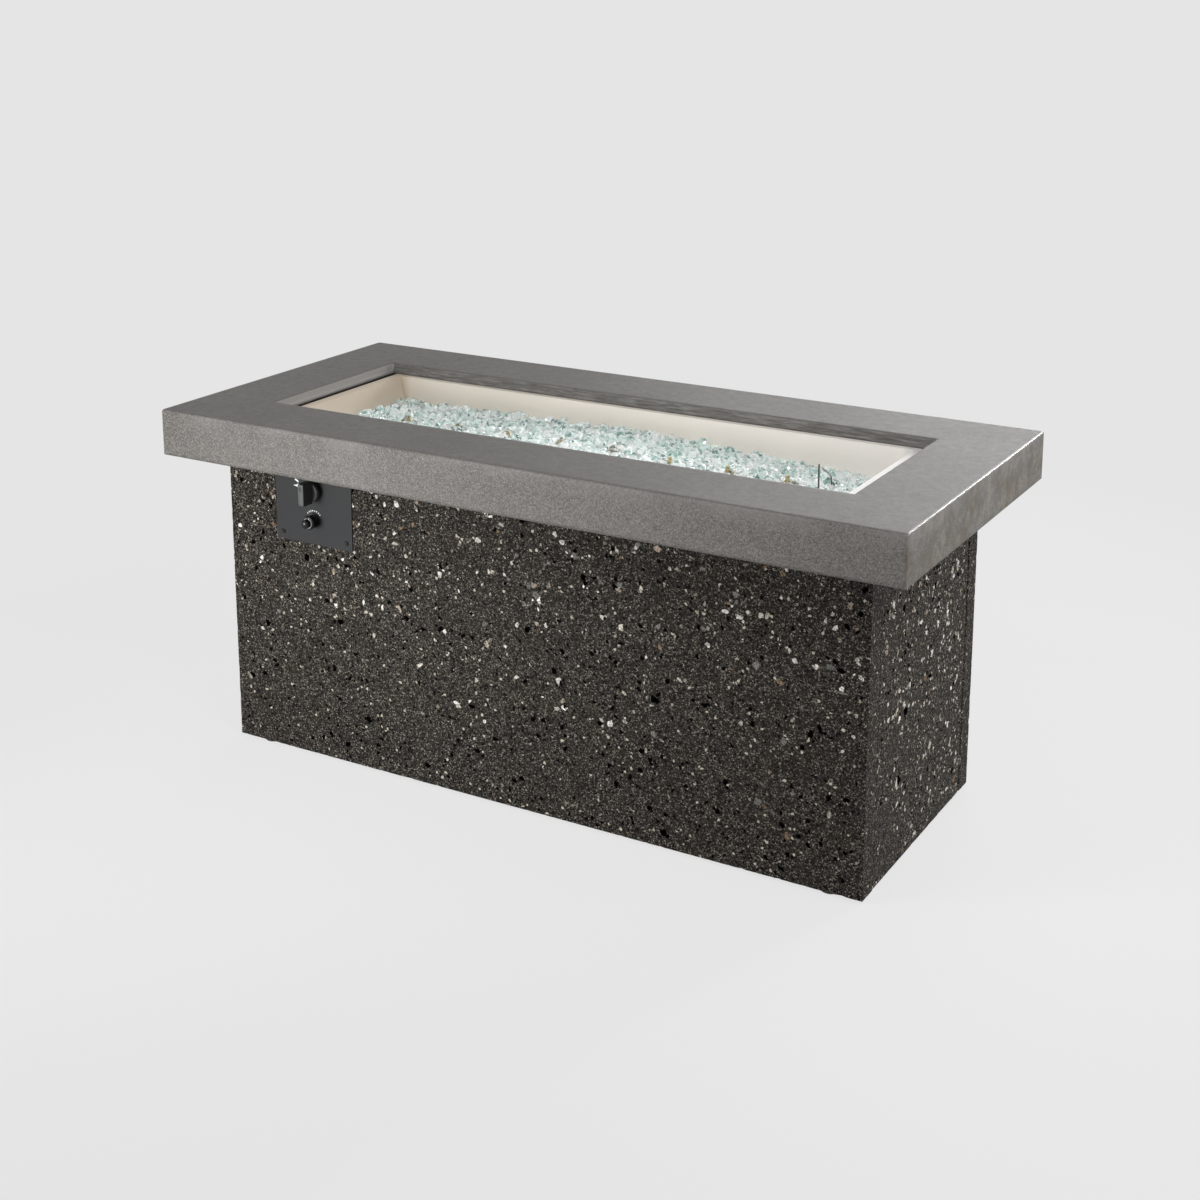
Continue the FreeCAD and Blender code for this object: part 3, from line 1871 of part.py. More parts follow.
clips = []
for index, x in enumerate(clip_places):
    ring = turned(
        f"clip_ring_{index}",
        tube_section("clip_width / 2", "lead_radius + screw_fit", 0, "clip_length"),
        f"{x} - clip_length / 2",
        lead_y,
        lead_level,
        "+X",
    )
    foot = block(
        f"clip_foot_{index}",
        (f"{x} - clip_length / 2", f"{x} + clip_length / 2"),
        (f"{lead_y} - clip_width / 2", f"{lead_y} + clip_width / 2"),
        (pan_under, f"{pan_under} - clip_wall"),
    )
    clips.append(join(f"clip_{index}", ring, foot))
group("lead_clips", *clips)


# Screws, in groups of like ones

group("plate_screws", *[
    screw(f"plate_screw_{index}", x, plate_face, z, "-Y", True)
    for index, (x, z) in enumerate(plate_screws_at)
])
group("valve_screws", *[
    screw(
        f"valve_screw_{index}",
        control_x,
        plate_face,
        f"{knob_z} + {sign} * valve_screw_pitch / 2",
        "-Y",
        True,
    )
    for index, sign in enumerate((-1, 1))
])
group("panel_screws", *[
    screw(name + "_screw", x, y, z, facing)
    for name, x, y, z, facing in panel_screw_places
])
group("post_screws", *[
    screw(
        name + "_post_screw",
        f"{sign_x} * {post_screw_x}",
        post_screw_y(depth_name, sign_y),
        f"{base_top} - post_wall",
        "-Z",
    )
    for name, depth_name, sign_x, sign_y in corners
])
rail_screws = []
for sign_y in (-1, 1):
    for index, x in enumerate(rail_screw_x):
        rail_screws.append(
            screw(
                f"rail_screw_{sign_y + 1}_{index}",
                x,
                f"{sign_y} * {rail_screw_y}",
                f"{skin_under} - pan_rail_wall",
                "-Z",
                True,
                "(skin_bite + pan_rail_wall)",
            )
        )
group("rail_screws", *rail_screws)


# Every object is checked before any file is written

doc.recompute()
faults = []
for item in doc.Objects:
    if "Invalid" in item.State or "Error" in item.State:
        faults.append(item.Name)
for item in nodes:
    shape = item.Shape
    if shape.isNull() or not shape.isValid() or not shape.Solids:
        faults.append(item.Label)
if faults:
    raise SystemExit("these objects failed: " + ", ".join(faults))
for item in nodes:
    item.Shape.exportStep(f"parts/{item.Label}.step")
    print(f"{item.Label}: {len(item.Shape.Solids)} solid(s), {item.Shape.Volume / 1000:.1f} cm3")
print(f"{len(nodes)} sub-parts")
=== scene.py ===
# %% [markdown]
# # A gas fire pit table
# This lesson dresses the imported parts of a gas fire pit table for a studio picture: a cast
# concrete top with a long burner opening, a box of dark cast panels full of pale stone, a
# steel burner pan filled with aqua fire glass, and a small black control plate.
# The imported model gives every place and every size, so nothing here is moved to fit.

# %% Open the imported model
import json
import math

import bpy
import numpy as np
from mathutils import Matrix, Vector


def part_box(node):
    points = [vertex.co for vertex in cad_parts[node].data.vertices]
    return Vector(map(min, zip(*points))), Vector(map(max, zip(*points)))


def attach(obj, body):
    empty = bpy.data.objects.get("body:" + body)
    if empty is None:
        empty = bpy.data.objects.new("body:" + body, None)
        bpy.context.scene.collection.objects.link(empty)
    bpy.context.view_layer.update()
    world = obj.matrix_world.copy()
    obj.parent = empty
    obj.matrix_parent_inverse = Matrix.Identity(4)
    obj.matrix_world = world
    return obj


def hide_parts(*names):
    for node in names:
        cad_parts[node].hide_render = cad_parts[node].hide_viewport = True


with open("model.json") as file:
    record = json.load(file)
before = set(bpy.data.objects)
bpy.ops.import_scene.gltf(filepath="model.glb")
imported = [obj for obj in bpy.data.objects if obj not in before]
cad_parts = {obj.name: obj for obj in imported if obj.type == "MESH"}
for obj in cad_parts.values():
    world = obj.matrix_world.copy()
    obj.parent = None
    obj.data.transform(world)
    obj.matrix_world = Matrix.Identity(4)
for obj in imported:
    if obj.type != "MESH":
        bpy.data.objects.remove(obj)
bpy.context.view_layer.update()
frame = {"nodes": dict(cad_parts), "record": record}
seed = 20
chance = np.random.default_rng(seed)

# %% [markdown]
# ## The camera
# The photograph was taken from the front right, a little above the top. The frame was cut
# from a larger picture, so the lens's own axis meets it above the middle. A small vertical
# shift gives the same cut without tilting the upright edges.

# %% The camera
camera_place = np.array([1.54278, -2.63574, 1.42929])
camera_aim = np.array([0.01382, 0.0, 0.74853])
camera_lens = 55.707
camera_shift = -0.21


def aimed(item, place, aim):
    """Puts a lamp or camera at a place, with its own -Z towards the aim and its Y upwards."""
    item.location = place
    item.rotation_euler = Vector(aim - place).to_track_quat("-Z", "Y").to_euler()
    bpy.context.scene.collection.objects.link(item)
    return item


camera_data = bpy.data.cameras.new("photo_camera")
camera_data.sensor_width = 36.0
camera_data.lens = camera_lens
camera_data.shift_y = camera_shift
camera = aimed(bpy.data.objects.new("photo_camera", camera_data), camera_place, camera_aim)
bpy.context.scene.camera = camera
print("camera distance:", round(float(np.linalg.norm(camera_place - camera_aim)), 3), "m")

# %% [markdown]
# ## Short ways to add nodes
# Every finish below is a small tree of nodes. One helper adds a node with its settings,
# and takes a plain number or another node's output for each input. A finish is then a
# few readable lines, and its colours and sizes stand where they are used.

# %% Helpers for finishes


def new_finish(name, **plain):
    """A material whose shader has plain values on its own sockets."""
    material = bpy.data.materials.new(name)
    material.use_nodes = True
    shader = material.node_tree.nodes["Principled BSDF"]
    for words, value in plain.items():
        shader.inputs[words.replace("_", " ")].default_value = value
    return material


def add(material, kind, inputs=None, **settings):
    """One node, with settings and with inputs that are plain values or other nodes' outputs."""
    item = material.node_tree.nodes.new("ShaderNode" + kind)
    for words, value in settings.items():
        setattr(item, words, value)
    for words, value in (inputs or {}).items():
        if isinstance(value, bpy.types.NodeSocket):
            material.node_tree.links.new(value, item.inputs[words])
        else:
            item.inputs[words].default_value = value
    return item


def feed(material, words, output):
    """Joins an output to the shader's input of that name."""
    shader = material.node_tree.nodes["Principled BSDF"]
    material.node_tree.links.new(output, shader.inputs[words])


def place_of(material):
    """The piece's own coordinates, in metres."""
    return add(material, "TexCoord").outputs["Object"]


def noise(material, place, size, detail=2.0, rough=0.5):
    """Cloudy noise whose lumps are about that size, in metres."""
    inputs = {"Vector": place, "Scale": 1 / size, "Detail": detail, "Roughness": rough}
    return add(material, "TexNoise", inputs).outputs["Fac"]


def cells(material, place, size, stretch=1.0):
    """Angular cells of about that size: a random number for each, and the distance to its middle."""
    pattern = add(material, "TexVoronoi", {"Vector": place, "Scale": 1 / size, "Randomness": stretch})
    number = add(material, "SeparateColor", {"Color": pattern.outputs["Color"]}).outputs["Red"]
    return number, pattern.outputs["Distance"]


def step(material, value, low, high, start=0.0, finish=1.0):
    """Carries a value from start to finish as it goes from low to high."""
    inputs = {"Value": value, "From Min": low, "From Max": high, "To Min": start, "To Max": finish}
    return add(material, "MapRange", inputs).outputs["Result"]


def blend(material, amount, first, second, kind="MIX"):
    """A mix of two colours."""
    item = add(material, "Mix", data_type="RGBA", blend_type=kind)
    links = material.node_tree.links
    for socket, value in ((item.inputs[0], amount), (item.inputs[6], first), (item.inputs[7], second)):
        if isinstance(value, bpy.types.NodeSocket):
            links.new(value, socket)
        else:
            socket.default_value = value
    return item.outputs[2]


def maths(material, kind, first, second=0.0):
    """One sum on two values."""
    item = add(material, "Math", operation=kind)
    for socket, value in zip(item.inputs, (first, second)):
        if isinstance(value, bpy.types.NodeSocket):
            material.node_tree.links.new(value, socket)
        else:
            socket.default_value = value
    return item.outputs[0]


def product(material, first, *others):
    """Several values multiplied together."""
    for other in others:
        first = maths(material, "MULTIPLY", first, other)
    return first


def tone_ramp(material, amount, tones):
    """A colour for each amount from 0 to 1, read from a list of places and colours."""
    ramp = add(material, "ValToRGB", {"Fac": amount})
    points = ramp.color_ramp.elements
    while len(points) < len(tones):
        points.new(0.5)
    for point, (where, colour) in zip(points, tones):
        point.position = where
        point.color = colour
    return ramp.outputs["Color"]


def relief(material, height, depth, strength=1.0):
    """Small bumps of that depth in metres."""
    bump = add(material, "Bump", {"Height": height, "Distance": depth, "Strength": strength})
    feed(material, "Normal", bump.outputs["Normal"])


def grey(level, warm=0.0):
    """A grey, warmer for a positive number."""
    return (level * (1 + warm), level * (1 + 0.1 * warm), level * (1 - warm), 1.0)


print("helpers ready")

# %% [markdown]
# ## The concrete of the top
# The top is cast concrete, sealed to a soft sheen. Seen close it has a fine salt-and-pepper
# grain, slow clouds from the trowel and a few tiny air holes. The grain is strong on the
# edges, and the ends have warm patches where the sealer soaked in.

# %% The concrete's finish
opening_x, opening_y = 0.549, 0.175  # half the burner opening's length and width


def salt_and_pepper(material, place, body, quiet):
    """Mixes pale and dark specks of two sizes into a colour, fewer where quiet is low.
    Hands back the colour and the larger grain."""
    coarse = None
    for size, share in ((0.0018, 0.42), (0.0009, 0.32)):
        grain, _ = cells(material, place, size)
        coarse = grain if coarse is None else coarse
        salt = step(material, grain, 0.6, 1.0, 0.0, share)
        pepper = step(material, grain, 0.4, 0.0, 0.0, share)
        body = blend(material, product(material, salt, quiet), body, grey(0.33, 0.05))
        body = blend(material, product(material, pepper, quiet), body, grey(0.034, 0.05))
    return body, coarse


def end_patches(material, place, body, end_share):
    """Warm and pale clouds on the two ends, where the sealer soaked in."""
    warm = step(material, noise(material, place, 0.05, 5.0, 0.65), 0.42, 0.6)
    body = blend(material, product(material, end_share, warm, 0.65), body, (0.095, 0.075, 0.054, 1.0))
    pale = step(material, noise(material, place, 0.026, 4.0, 0.65), 0.5, 0.66, 0.0, 0.4)
    return blend(material, product(material, end_share, pale), body, (0.28, 0.25, 0.21, 1.0))


def raw_walls(material, place, body, x, y, z, away_x):
    """The unsealed walls of the burner opening: level streaks, and painted light that makes the wall at the
    left lighter.
    """
    away_y = maths(material, "ABSOLUTE", y)
    inside_x = step(material, away_x, opening_x + 0.0004, opening_x + 0.0008, 1.0, 0.0)
    inside_y = step(material, away_y, opening_y + 0.0004, opening_y + 0.0008, 1.0, 0.0)
    below_top = step(material, z, 0.6203, 0.6212, 1.0, 0.0)
    lines = add(material, "Mapping", {"Vector": place, "Scale": (0.1, 0.1, 1.0)}).outputs["Vector"]
    streak = noise(material, lines, 0.0032, 3.0, 0.6)
    tone = tone_ramp(material, streak,
                     ((0.3, grey(0.1, 0.05)), (0.5, grey(0.17, 0.05)), (0.68, grey(0.26, 0.04))))
    # Painted light: the left wall of the opening is made lighter, as if lit from the right.
    painted_light_left_wall = step(material, x, 0.003 - opening_x, 0.004 - opening_x, 1.0, 0.0)
    tone = blend(material, painted_light_left_wall, tone, grey(0.42, 0.04))
    return blend(material, product(material, inside_x, inside_y, below_top, 0.9), body, tone)


def concrete(name):
    """Cast concrete: slow clouds, fine grain, tiny air holes and warm patches on the ends."""
    sealed_gloss, rubbed_gloss = 0.14, 0.6
    material = new_finish(name, Specular_IOR_Level=sealed_gloss)
    place = place_of(material)
    parts = add(material, "SeparateXYZ", {"Vector": place})
    x, y, z = (parts.outputs[axis] for axis in "XYZ")
    away_x = maths(material, "ABSOLUTE", x)
    clouds = noise(material, place, 0.2, 3.0)
    mottle = noise(material, place, 0.016, 4.0, 0.62)
    top_face = step(material, z, 0.6195, 0.6215)
    quiet = step(material, top_face, 0.0, 1.0, 1.0, 0.3)
    body = blend(material, step(material, clouds, 0.3, 0.7), grey(0.124, 0.07), grey(0.156, 0.06))
    body = blend(material, step(material, mottle, 0.35, 0.68, 0.0, 0.3), body, grey(0.09, 0.07))
    body, grain = salt_and_pepper(material, place, body, quiet)
    # Painted highlight: the sides are made lighter in a cloudy band just under the top edge.
    painted_highlight_rim = product(material, step(material, z, 0.59, 0.618, 0.0, 0.5),
                       maths(material, "SUBTRACT", 1.0, top_face), step(material, clouds, 0.42, 0.56))
    body = blend(material, painted_highlight_rim, body, grey(0.22, 0.05))
    body = end_patches(material, place, body, step(material, away_x, 0.6825, 0.6852))
    body = raw_walls(material, place, body, x, y, z, away_x)
    _, to_hole = cells(material, place, 0.021)
    holes = step(material, to_hole, 0.03, 0.055, 1.0, 0.0)
    feed(material, "Base Color", blend(material, holes, body, grey(0.015)))
    rubbed = product(material, step(material, away_x, 0.682, 0.6835), step(material, z, 0.6175, 0.6192))
    rough = step(material, mottle, 0.3, 0.7, 0.44, 0.52)
    feed(material, "Roughness", maths(material, "SUBTRACT", rough, product(material, rubbed, 0.2)))
    feed(material, "Specular IOR Level", step(material, rubbed, 0.0, 1.0, sealed_gloss, rubbed_gloss))
    height = maths(material, "ADD", product(material, mottle, 0.5), product(material, grain, quiet))
    relief(material, maths(material, "SUBTRACT", height, holes), 0.0002, 0.5)
    return material


print("concrete ready")

# %% [markdown]
# ## The dark cast of the panels
# The panels are a charcoal mix of crushed lava, ground flat: a granular ground of black,
# brown and grey grains one or two millimetres across, with scattered angular chips. The
# grains are cells with a random number each, so each grain has its own tone. The larger
# chips are real pieces set in the face, made further down.

# %% The dark cast's finish


def dark_cast(name):
    """Ground lava: fine grains, small angular chips, faint brown patches and a rough face."""
    material = new_finish(name, Specular_IOR_Level=0.05)
    place = place_of(material)
    warp = add(material, "TexNoise", {"Vector": place, "Scale": 400.0, "Detail": 1.0}).outputs["Color"]
    shifted = add(material, "VectorMath", operation="MULTIPLY_ADD")
    material.node_tree.links.new(warp, shifted.inputs[0])
    shifted.inputs[1].default_value = (0.0014, 0.0014, 0.0014)
    material.node_tree.links.new(place, shifted.inputs[2])
    place = shifted.outputs[0]
    grain, middle = cells(material, place, 0.0018)
    dust, _ = cells(material, place, 0.0012)
    small, _ = cells(material, place, 0.0038)
    patch = noise(material, place, 0.06, 3.0, 0.6)
    tones = ((0.0, grey(0.002)), (0.35, grey(0.009, 0.12)), (0.62, grey(0.028, 0.13)),
             (0.8, grey(0.056, 0.13)), (0.93, grey(0.13, 0.13)), (1.0, grey(0.3, 0.13)))
    body = blend(material, 0.12, tone_ramp(material, grain, tones), tone_ramp(material, dust, tones))
    body = blend(material, step(material, patch, 0.5, 0.75, 0.0, 0.3), body, (0.03, 0.021, 0.014, 1.0))
    body = blend(material, step(material, small, 0.988, 0.993), body, (0.5, 0.45, 0.37, 1.0))
    body = blend(material, step(material, small, 0.045, 0.03), body, grey(0.004))
    feed(material, "Base Color", body)
    feed(material, "Roughness", step(material, small, 0.03, 0.06, 0.25, 0.7))
    height = maths(material, "SUBTRACT", product(material, grain, 0.6), middle)
    relief(material, height, 0.0008, 0.7)
    return material


print("dark cast ready")

# %% [markdown]
# ## Coats, metals, plastics and rubber
# The smaller parts share a few kinds of finish. A powder coat has a fine orange peel, zinc
# has a cloudy bloom, drawn brass has dark spots from heat, and a moulded plastic has a
# soft grain. One function takes the two tones, the sizes and the depths that differ.

# %% One function for the smaller finishes


def grained(name, light, dark, size, rough=(0.35, 0.5), depth=0.00005, metal=0.0, cloud=None, **plain):
    """Two tones mixed by noise of a given size, with matching gloss and fine bumps."""
    material = new_finish(name, Metallic=metal, **plain)
    place = place_of(material)
    fine = noise(material, place, size, 3.0, 0.6)
    slow = noise(material, place, cloud or size * 12, 3.0, 0.55)
    amount = product(material, maths(material, "ADD", fine, slow), 0.5)
    feed(material, "Base Color", blend(material, step(material, amount, 0.36, 0.64), dark, light))
    feed(material, "Roughness", step(material, slow, 0.3, 0.7, rough[0], rough[1]))
    relief(material, fine, depth, 0.6)
    return material


def brushed(name, light, dark, stretch, rough=(0.3, 0.42), metal=1.0):
    """Metal with fine marks drawn out along one axis."""
    material = new_finish(name, Metallic=metal)
    place = place_of(material)
    drawn = add(material, "Mapping", {"Vector": place, "Scale": stretch}).outputs["Vector"]
    marks = add(material, "TexNoise", {"Vector": drawn, "Scale": 1.0, "Detail": 3.0}).outputs["Fac"]
    slow = noise(material, place, 0.12, 2.0)
    tone = blend(material, step(material, marks, 0.3, 0.7), dark, light)
    feed(material, "Base Color", blend(material, step(material, slow, 0.3, 0.7, 0.0, 0.25), tone, dark))
    feed(material, "Roughness", step(material, marks, 0.3, 0.7, rough[0], rough[1]))
    relief(material, marks, 0.00004, 0.4)
    return material


def pan_metal(name):
    """Satin pan steel with fine specks. Painted shade makes the left end wall darker and warmer, painted
    light makes the rest lighter towards the right, and the right end is greyer.
    """
    material = new_finish(name, Specular_IOR_Level=0.4)
    place = place_of(material)
    along = add(material, "SeparateXYZ", {"Vector": place}).outputs["X"]
    # Painted shade and light along the pan: darker and warmer over the left end wall, lighter towards the
    # right, greyer at the right end.
    tone = tone_ramp(material, step(material, along, -0.55, 0.55), (
        (0.0, (0.72, 0.61, 0.49, 1)), (0.035, (0.72, 0.61, 0.49, 1)), (0.05, (0.87, 0.79, 0.69, 1)),
        (0.55, (0.95, 0.88, 0.8, 1)), (0.952, (0.98, 0.922, 0.865, 1)), (0.962, (0.78, 0.755, 0.74, 1))))
    fine = noise(material, place, 0.0012, 2.0)
    specks = step(material, fine, 0.35, 0.65, 0.0, 0.06)
    feed(material, "Base Color", blend(material, specks, tone, grey(0.5, 0.1)))
    feed(material, "Roughness", step(material, fine, 0.3, 0.7, 0.36, 0.44))
    relief(material, fine, 0.00001, 0.4)
    return material


brass, burnt_brass = (0.62, 0.52, 0.3, 1), (0.32, 0.26, 0.14, 1)
blue, deep_blue = (0.1, 0.16, 0.3, 1), (0.07, 0.11, 0.22, 1)
along_x = (40.0, 900.0, 900.0)
# name: light tone, dark tone, size of the grain, roughness, depth of the bumps, metal
plain_kinds = {
    "jet_brass": (brass, burnt_brass, 0.0022, (0.3, 0.45), 0.00005, 1.0),
    "frame_coat": (grey(0.03), grey(0.02), 0.0014, (0.4, 0.5), 0.00006, 0.0),
    "zinc_steel": (grey(0.62, -0.02), grey(0.44), 0.0016, (0.3, 0.46), 0.00005, 1.0),
    "black_plastic": (grey(0.02), grey(0.012), 0.0009, (0.28, 0.4), 0.00003, 0.0),
    "bright_ring": (grey(0.55), grey(0.42), 0.003, (0.14, 0.22), 0.00001, 1.0),
    "spark_ceramic": (grey(0.82, 0.02), grey(0.72, 0.04), 0.002, (0.2, 0.35), 0.00003, 0.0),
    "dark_rod": (grey(0.2, 0.06), grey(0.06, 0.08), 0.002, (0.4, 0.6), 0.00005, 1.0),
    "pad_rubber": (grey(0.03), grey(0.018), 0.001, (0.6, 0.8), 0.00008, 0.0),
    "lead_silicone": (grey(0.05), grey(0.03), 0.0015, (0.4, 0.55), 0.00004, 0.0),
    "magnet_case": (grey(0.09), grey(0.06), 0.001, (0.45, 0.6), 0.00005, 0.0),
    "cell_sleeve": (blue, deep_blue, 0.002, (0.3, 0.4), 0.00001, 0.0),
}
finishes = {name: grained(name, *row) for name, row in plain_kinds.items()}
finishes["black_coat"] = grained(
    "black_coat", grey(0.026, -0.04), grey(0.022, -0.04), 0.0012, (0.5, 0.6), 0.00004,
    Specular_IOR_Level=0.18)
finishes["burner_steel"] = brushed("burner_steel", grey(0.5, 0.02), grey(0.36, 0.04), along_x, (0.3, 0.42))
finishes["cast_top"] = concrete("cast_top")
finishes["fleck_panel"] = dark_cast("fleck_panel")
finishes["pan_steel"] = pan_metal("pan_steel")
print("finishes:", ", ".join(sorted(finishes)))

# %% [markdown]
# ## Fire glass
# Fire glass is tumbled, clear, faintly green glass. A wholly clear pebble shows little but what lies behind
# it, so this one is part clear and part milky, and its facets carry painted highlights and painted shade.
# The bed underneath is opaque: nobody sees through four centimetres of glass.

# %% The glass and its bed


def clear_glass(name):
    """Pale glass, part clear and part milky, with painted highlights and painted shade in its facets. Each
    pebble has its own tone on its points.
    """
    material = new_finish(name, Roughness=0.02, IOR=1.6, Specular_IOR_Level=0.9,
                          Transmission_Weight=0.6, Coat_Weight=0.6)
    place = place_of(material)
    tone = add(material, "Attribute", attribute_name="tone").outputs["Color"]
    facet, middle = cells(material, place, 0.0058)
    # Painted highlight and painted shade: most facets are white like glints, and a few are dark teal like
    # shade in the glass.
    painted_glint_facets = tone_ramp(material, facet, ((0.0, (0.14, 0.22, 0.2, 1)), (0.13, (0.55, 0.7, 0.66, 1)),
                                        (0.26, (0.97, 1, 0.99, 1)), (1.0, (1, 1, 1, 1))))
    body = blend(material, 1.0, tone, painted_glint_facets, "MULTIPLY")
    # Painted highlights: the facets above the middle are made pure white.
    body = blend(material, step(material, facet, 0.5, 0.54), body, (1.0, 1.0, 1.0, 1.0))
    feed(material, "Base Color", body)
    relief(material, middle, 0.0014, 0.6)
    return material


def glass_bed(name):
    """Pebbles too deep to see through: facets of pale aqua, with white ones as painted highlights and dark
    ones as painted shade.
    """
    material = new_finish(name, Roughness=0.2)
    facet, middle = cells(material, place_of(material), 0.0078)
    # Painted highlight and painted shade: white and dark facets stand in for the glints and gaps of deep
    # pebbles.
    feed(material, "Base Color", tone_ramp(material, facet, (
        (0.0, (0.2, 0.31, 0.29, 1)), (0.3, (0.5, 0.66, 0.62, 1)),
        (0.65, (0.95, 1.0, 0.98, 1)), (1.0, (1, 1, 1, 1)))))
    relief(material, middle, 0.003, 0.8)
    return material


finishes["aqua_glass"] = clear_glass("aqua_glass")
bed_finish = glass_bed("glass_bed")
print("glass ready")

# %% [markdown]
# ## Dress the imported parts
# The record names a material slot for each part, and the finishes above have the same
# names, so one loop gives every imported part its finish.

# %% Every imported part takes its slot's finish
slot_of = {part["node"]: part["material_slot"] for part in frame["record"]["subparts"]}
for node, item in frame["nodes"].items():
    item.data.materials.clear()
    item.data.materials.append(finishes[slot_of[node]])
print("dressed:", len(slot_of))

# %% [markdown]
# ## Surfaces from arrays
# New pieces are grids of points worked out with numpy. A few helpers turn arrays into
# pieces: one makes the mesh, one gives small shapes their tones, one lists the quads of a
# grid, and one gives smooth noise at any points, for relief that is really there.

# %% Helpers for pieces


def piece(name, points, faces, finish, body="table", smooth=True):
    """A mesh at the origin that takes a finish and rides on a body."""
    mesh = bpy.data.meshes.new(name)
    mesh.from_pydata(np.asarray(points).reshape(-1, 3), [], faces)
    mesh.materials.append(finish)
    if smooth:
        mesh.shade_smooth()
    item = bpy.data.objects.new(name, mesh)
    bpy.context.scene.collection.objects.link(item)
    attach(item, body)
    print(f"{name}: {len(mesh.vertices)} points, {len(mesh.polygons)} faces")
    return item


def tint(item, tones, per_shape):
    """Gives every point of each small shape that shape's tone, as the attribute that its finish reads."""
    colours = np.ones((len(tones) * per_shape, 4), np.float32)
    colours[:, :3] = np.repeat(tones, per_shape, 0)
    layer = item.data.color_attributes.new("tone", "FLOAT_COLOR", "POINT")
    layer.data.foreach_set("color", colours.ravel())


def grid_faces(rows, columns, closed_rows=False, closed_columns=False):
    """The quads between neighbouring points of a grid, round again where a way is closed."""
    row, column = np.meshgrid(
        np.arange(rows if closed_rows else rows - 1),
        np.arange(columns if closed_columns else columns - 1),
        indexing="ij",
    )
    below, beside = (row + 1) % rows, (column + 1) % columns
    corners = [row * columns + column, row * columns + beside]
    corners += [below * columns + beside, below * columns + column]
    return np.stack(corners, -1).reshape(-1, 4)


def lattice_value(cell, key):
    """A repeatable number from 0 to 1 for each whole-number cell, by mixing its bits."""
    x, y, z = np.moveaxis(cell.astype(np.uint32), -1, 0)
    mixed = x * np.uint32(374761393) + y * np.uint32(668265263) + z * np.uint32(2246822519)
    mixed = mixed + np.uint32(key * 3266489917 % 2**32)
    mixed = (mixed ^ (mixed >> 13)) * np.uint32(1274126177)
    return ((mixed ^ (mixed >> 16)) & np.uint32(0xFFFF)) / 65535.0


def lumps(points, size, key=1):
    """Smooth noise from -1 to 1: each point blends the values at the eight corners of its cell."""
    scaled = points / size
    cell = np.floor(scaled).astype(np.int64)
    part = scaled - cell
    part = part * part * (3 - 2 * part)
    total = 0.0
    for corner in np.ndindex(2, 2, 2):
        weight = np.prod(np.where(np.array(corner) == 1, part, 1 - part), axis=-1)
        total = total + weight * lattice_value(cell + np.array(corner), key)
    return 2 * total - 1


print("array helpers ready")

# %% [markdown]
# ## The cast top
# The top is one closed shell. Its outline is a rounded rectangle, and every line of the
# section, from the drip edge up over the rim, across the top, down the burner opening and
# back underneath, is the same rectangle with other half sizes and another height. Carrying
# that rectangle through the list of sizes gives the whole slab as one grid, closed both
# ways, which then gets a trowelled waviness and a rough, streaked cut in the opening.

# %% The outline that is carried through the section
slab_low, slab_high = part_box("top_slab")
top = slab_high.z
half_x, half_y = slab_high.x, slab_high.y
long_points, short_points, corner_points = 270, 124, 6


def rounded_loop(size_x, size_y, radius):
    """A rectangle with round corners, anticlockwise from its front left, always with as many points.
    A side is a line between two flats, and a corner is a quarter circle one radius in from both."""
    along = np.linspace(-1, 1, long_points, endpoint=False)
    across = np.linspace(-1, 1, short_points, endpoint=False)
    turn = np.linspace(0, math.pi / 2, corner_points, endpoint=False)
    flat_x, flat_y = size_x - radius, size_y - radius
    two_sides = ((along, flat_x, size_y), (across, flat_y, size_x))
    pieces = []
    for quarter, (line, flat, other) in enumerate(two_sides * 2):
        side = np.stack([line * flat, np.full_like(line, -other)], -1)
        arc = np.stack([flat + radius * np.sin(turn), radius - other - radius * np.cos(turn)], -1)
        angle = quarter * math.pi / 2
        cos, sin = round(math.cos(angle)), round(math.sin(angle))
        pieces.append(np.concatenate([side, arc]) @ np.array([[cos, sin], [-sin, cos]]))
    return np.concatenate(pieces)


print("points round the outline:", len(rounded_loop(half_x, half_y, 0.005)))

# %% The section of the slab
rim, lip_level, skin_level = 0.004, top - 0.012, top - 0.020
section = []
for height in np.linspace(slab_low.z, top - rim, 16):
    section.append((half_x, half_y, 0.005, height))
for angle in np.radians((22.5, 45, 67.5)):
    inset = rim * (1 - math.cos(angle))
    section.append((half_x - inset, half_y - inset, 0.005, top - rim + rim * math.sin(angle)))
for share in np.linspace(0, 1, 28):
    x = (1 - share) * (half_x - rim) + share * (opening_x + 0.0015)
    y = (1 - share) * (half_y - rim) + share * (opening_y + 0.0015)
    section.append((x, y, 0.005 * (1 - share) + 0.001 * share, top))
for height in np.linspace(top - 0.001, lip_level, 9):
    depth = (top - height) / 0.012
    section.append((opening_x, opening_y, 0.001 + 0.008 * depth, height))
lip = ((0.0015, lip_level), (0.003, lip_level - 0.001), (0.003, lip_level - 0.004), (0.003, skin_level))
for inset, height in lip:
    section.append((opening_x - inset, opening_y - inset, 0.004, height))
underside = ((0.104, skin_level), (0.104, slab_low.z + 0.001), (0.103, slab_low.z), (0.073, slab_low.z),
             (0.072, slab_low.z + 0.001), (0.072, skin_level), (0.022, skin_level),
             (0.022, slab_low.z + 0.002), (0.020, slab_low.z))
for inset, height in underside:
    section.append((half_x - inset, half_y - inset, 0.002, height))
print("lines in the section:", len(section))

# %% The slab


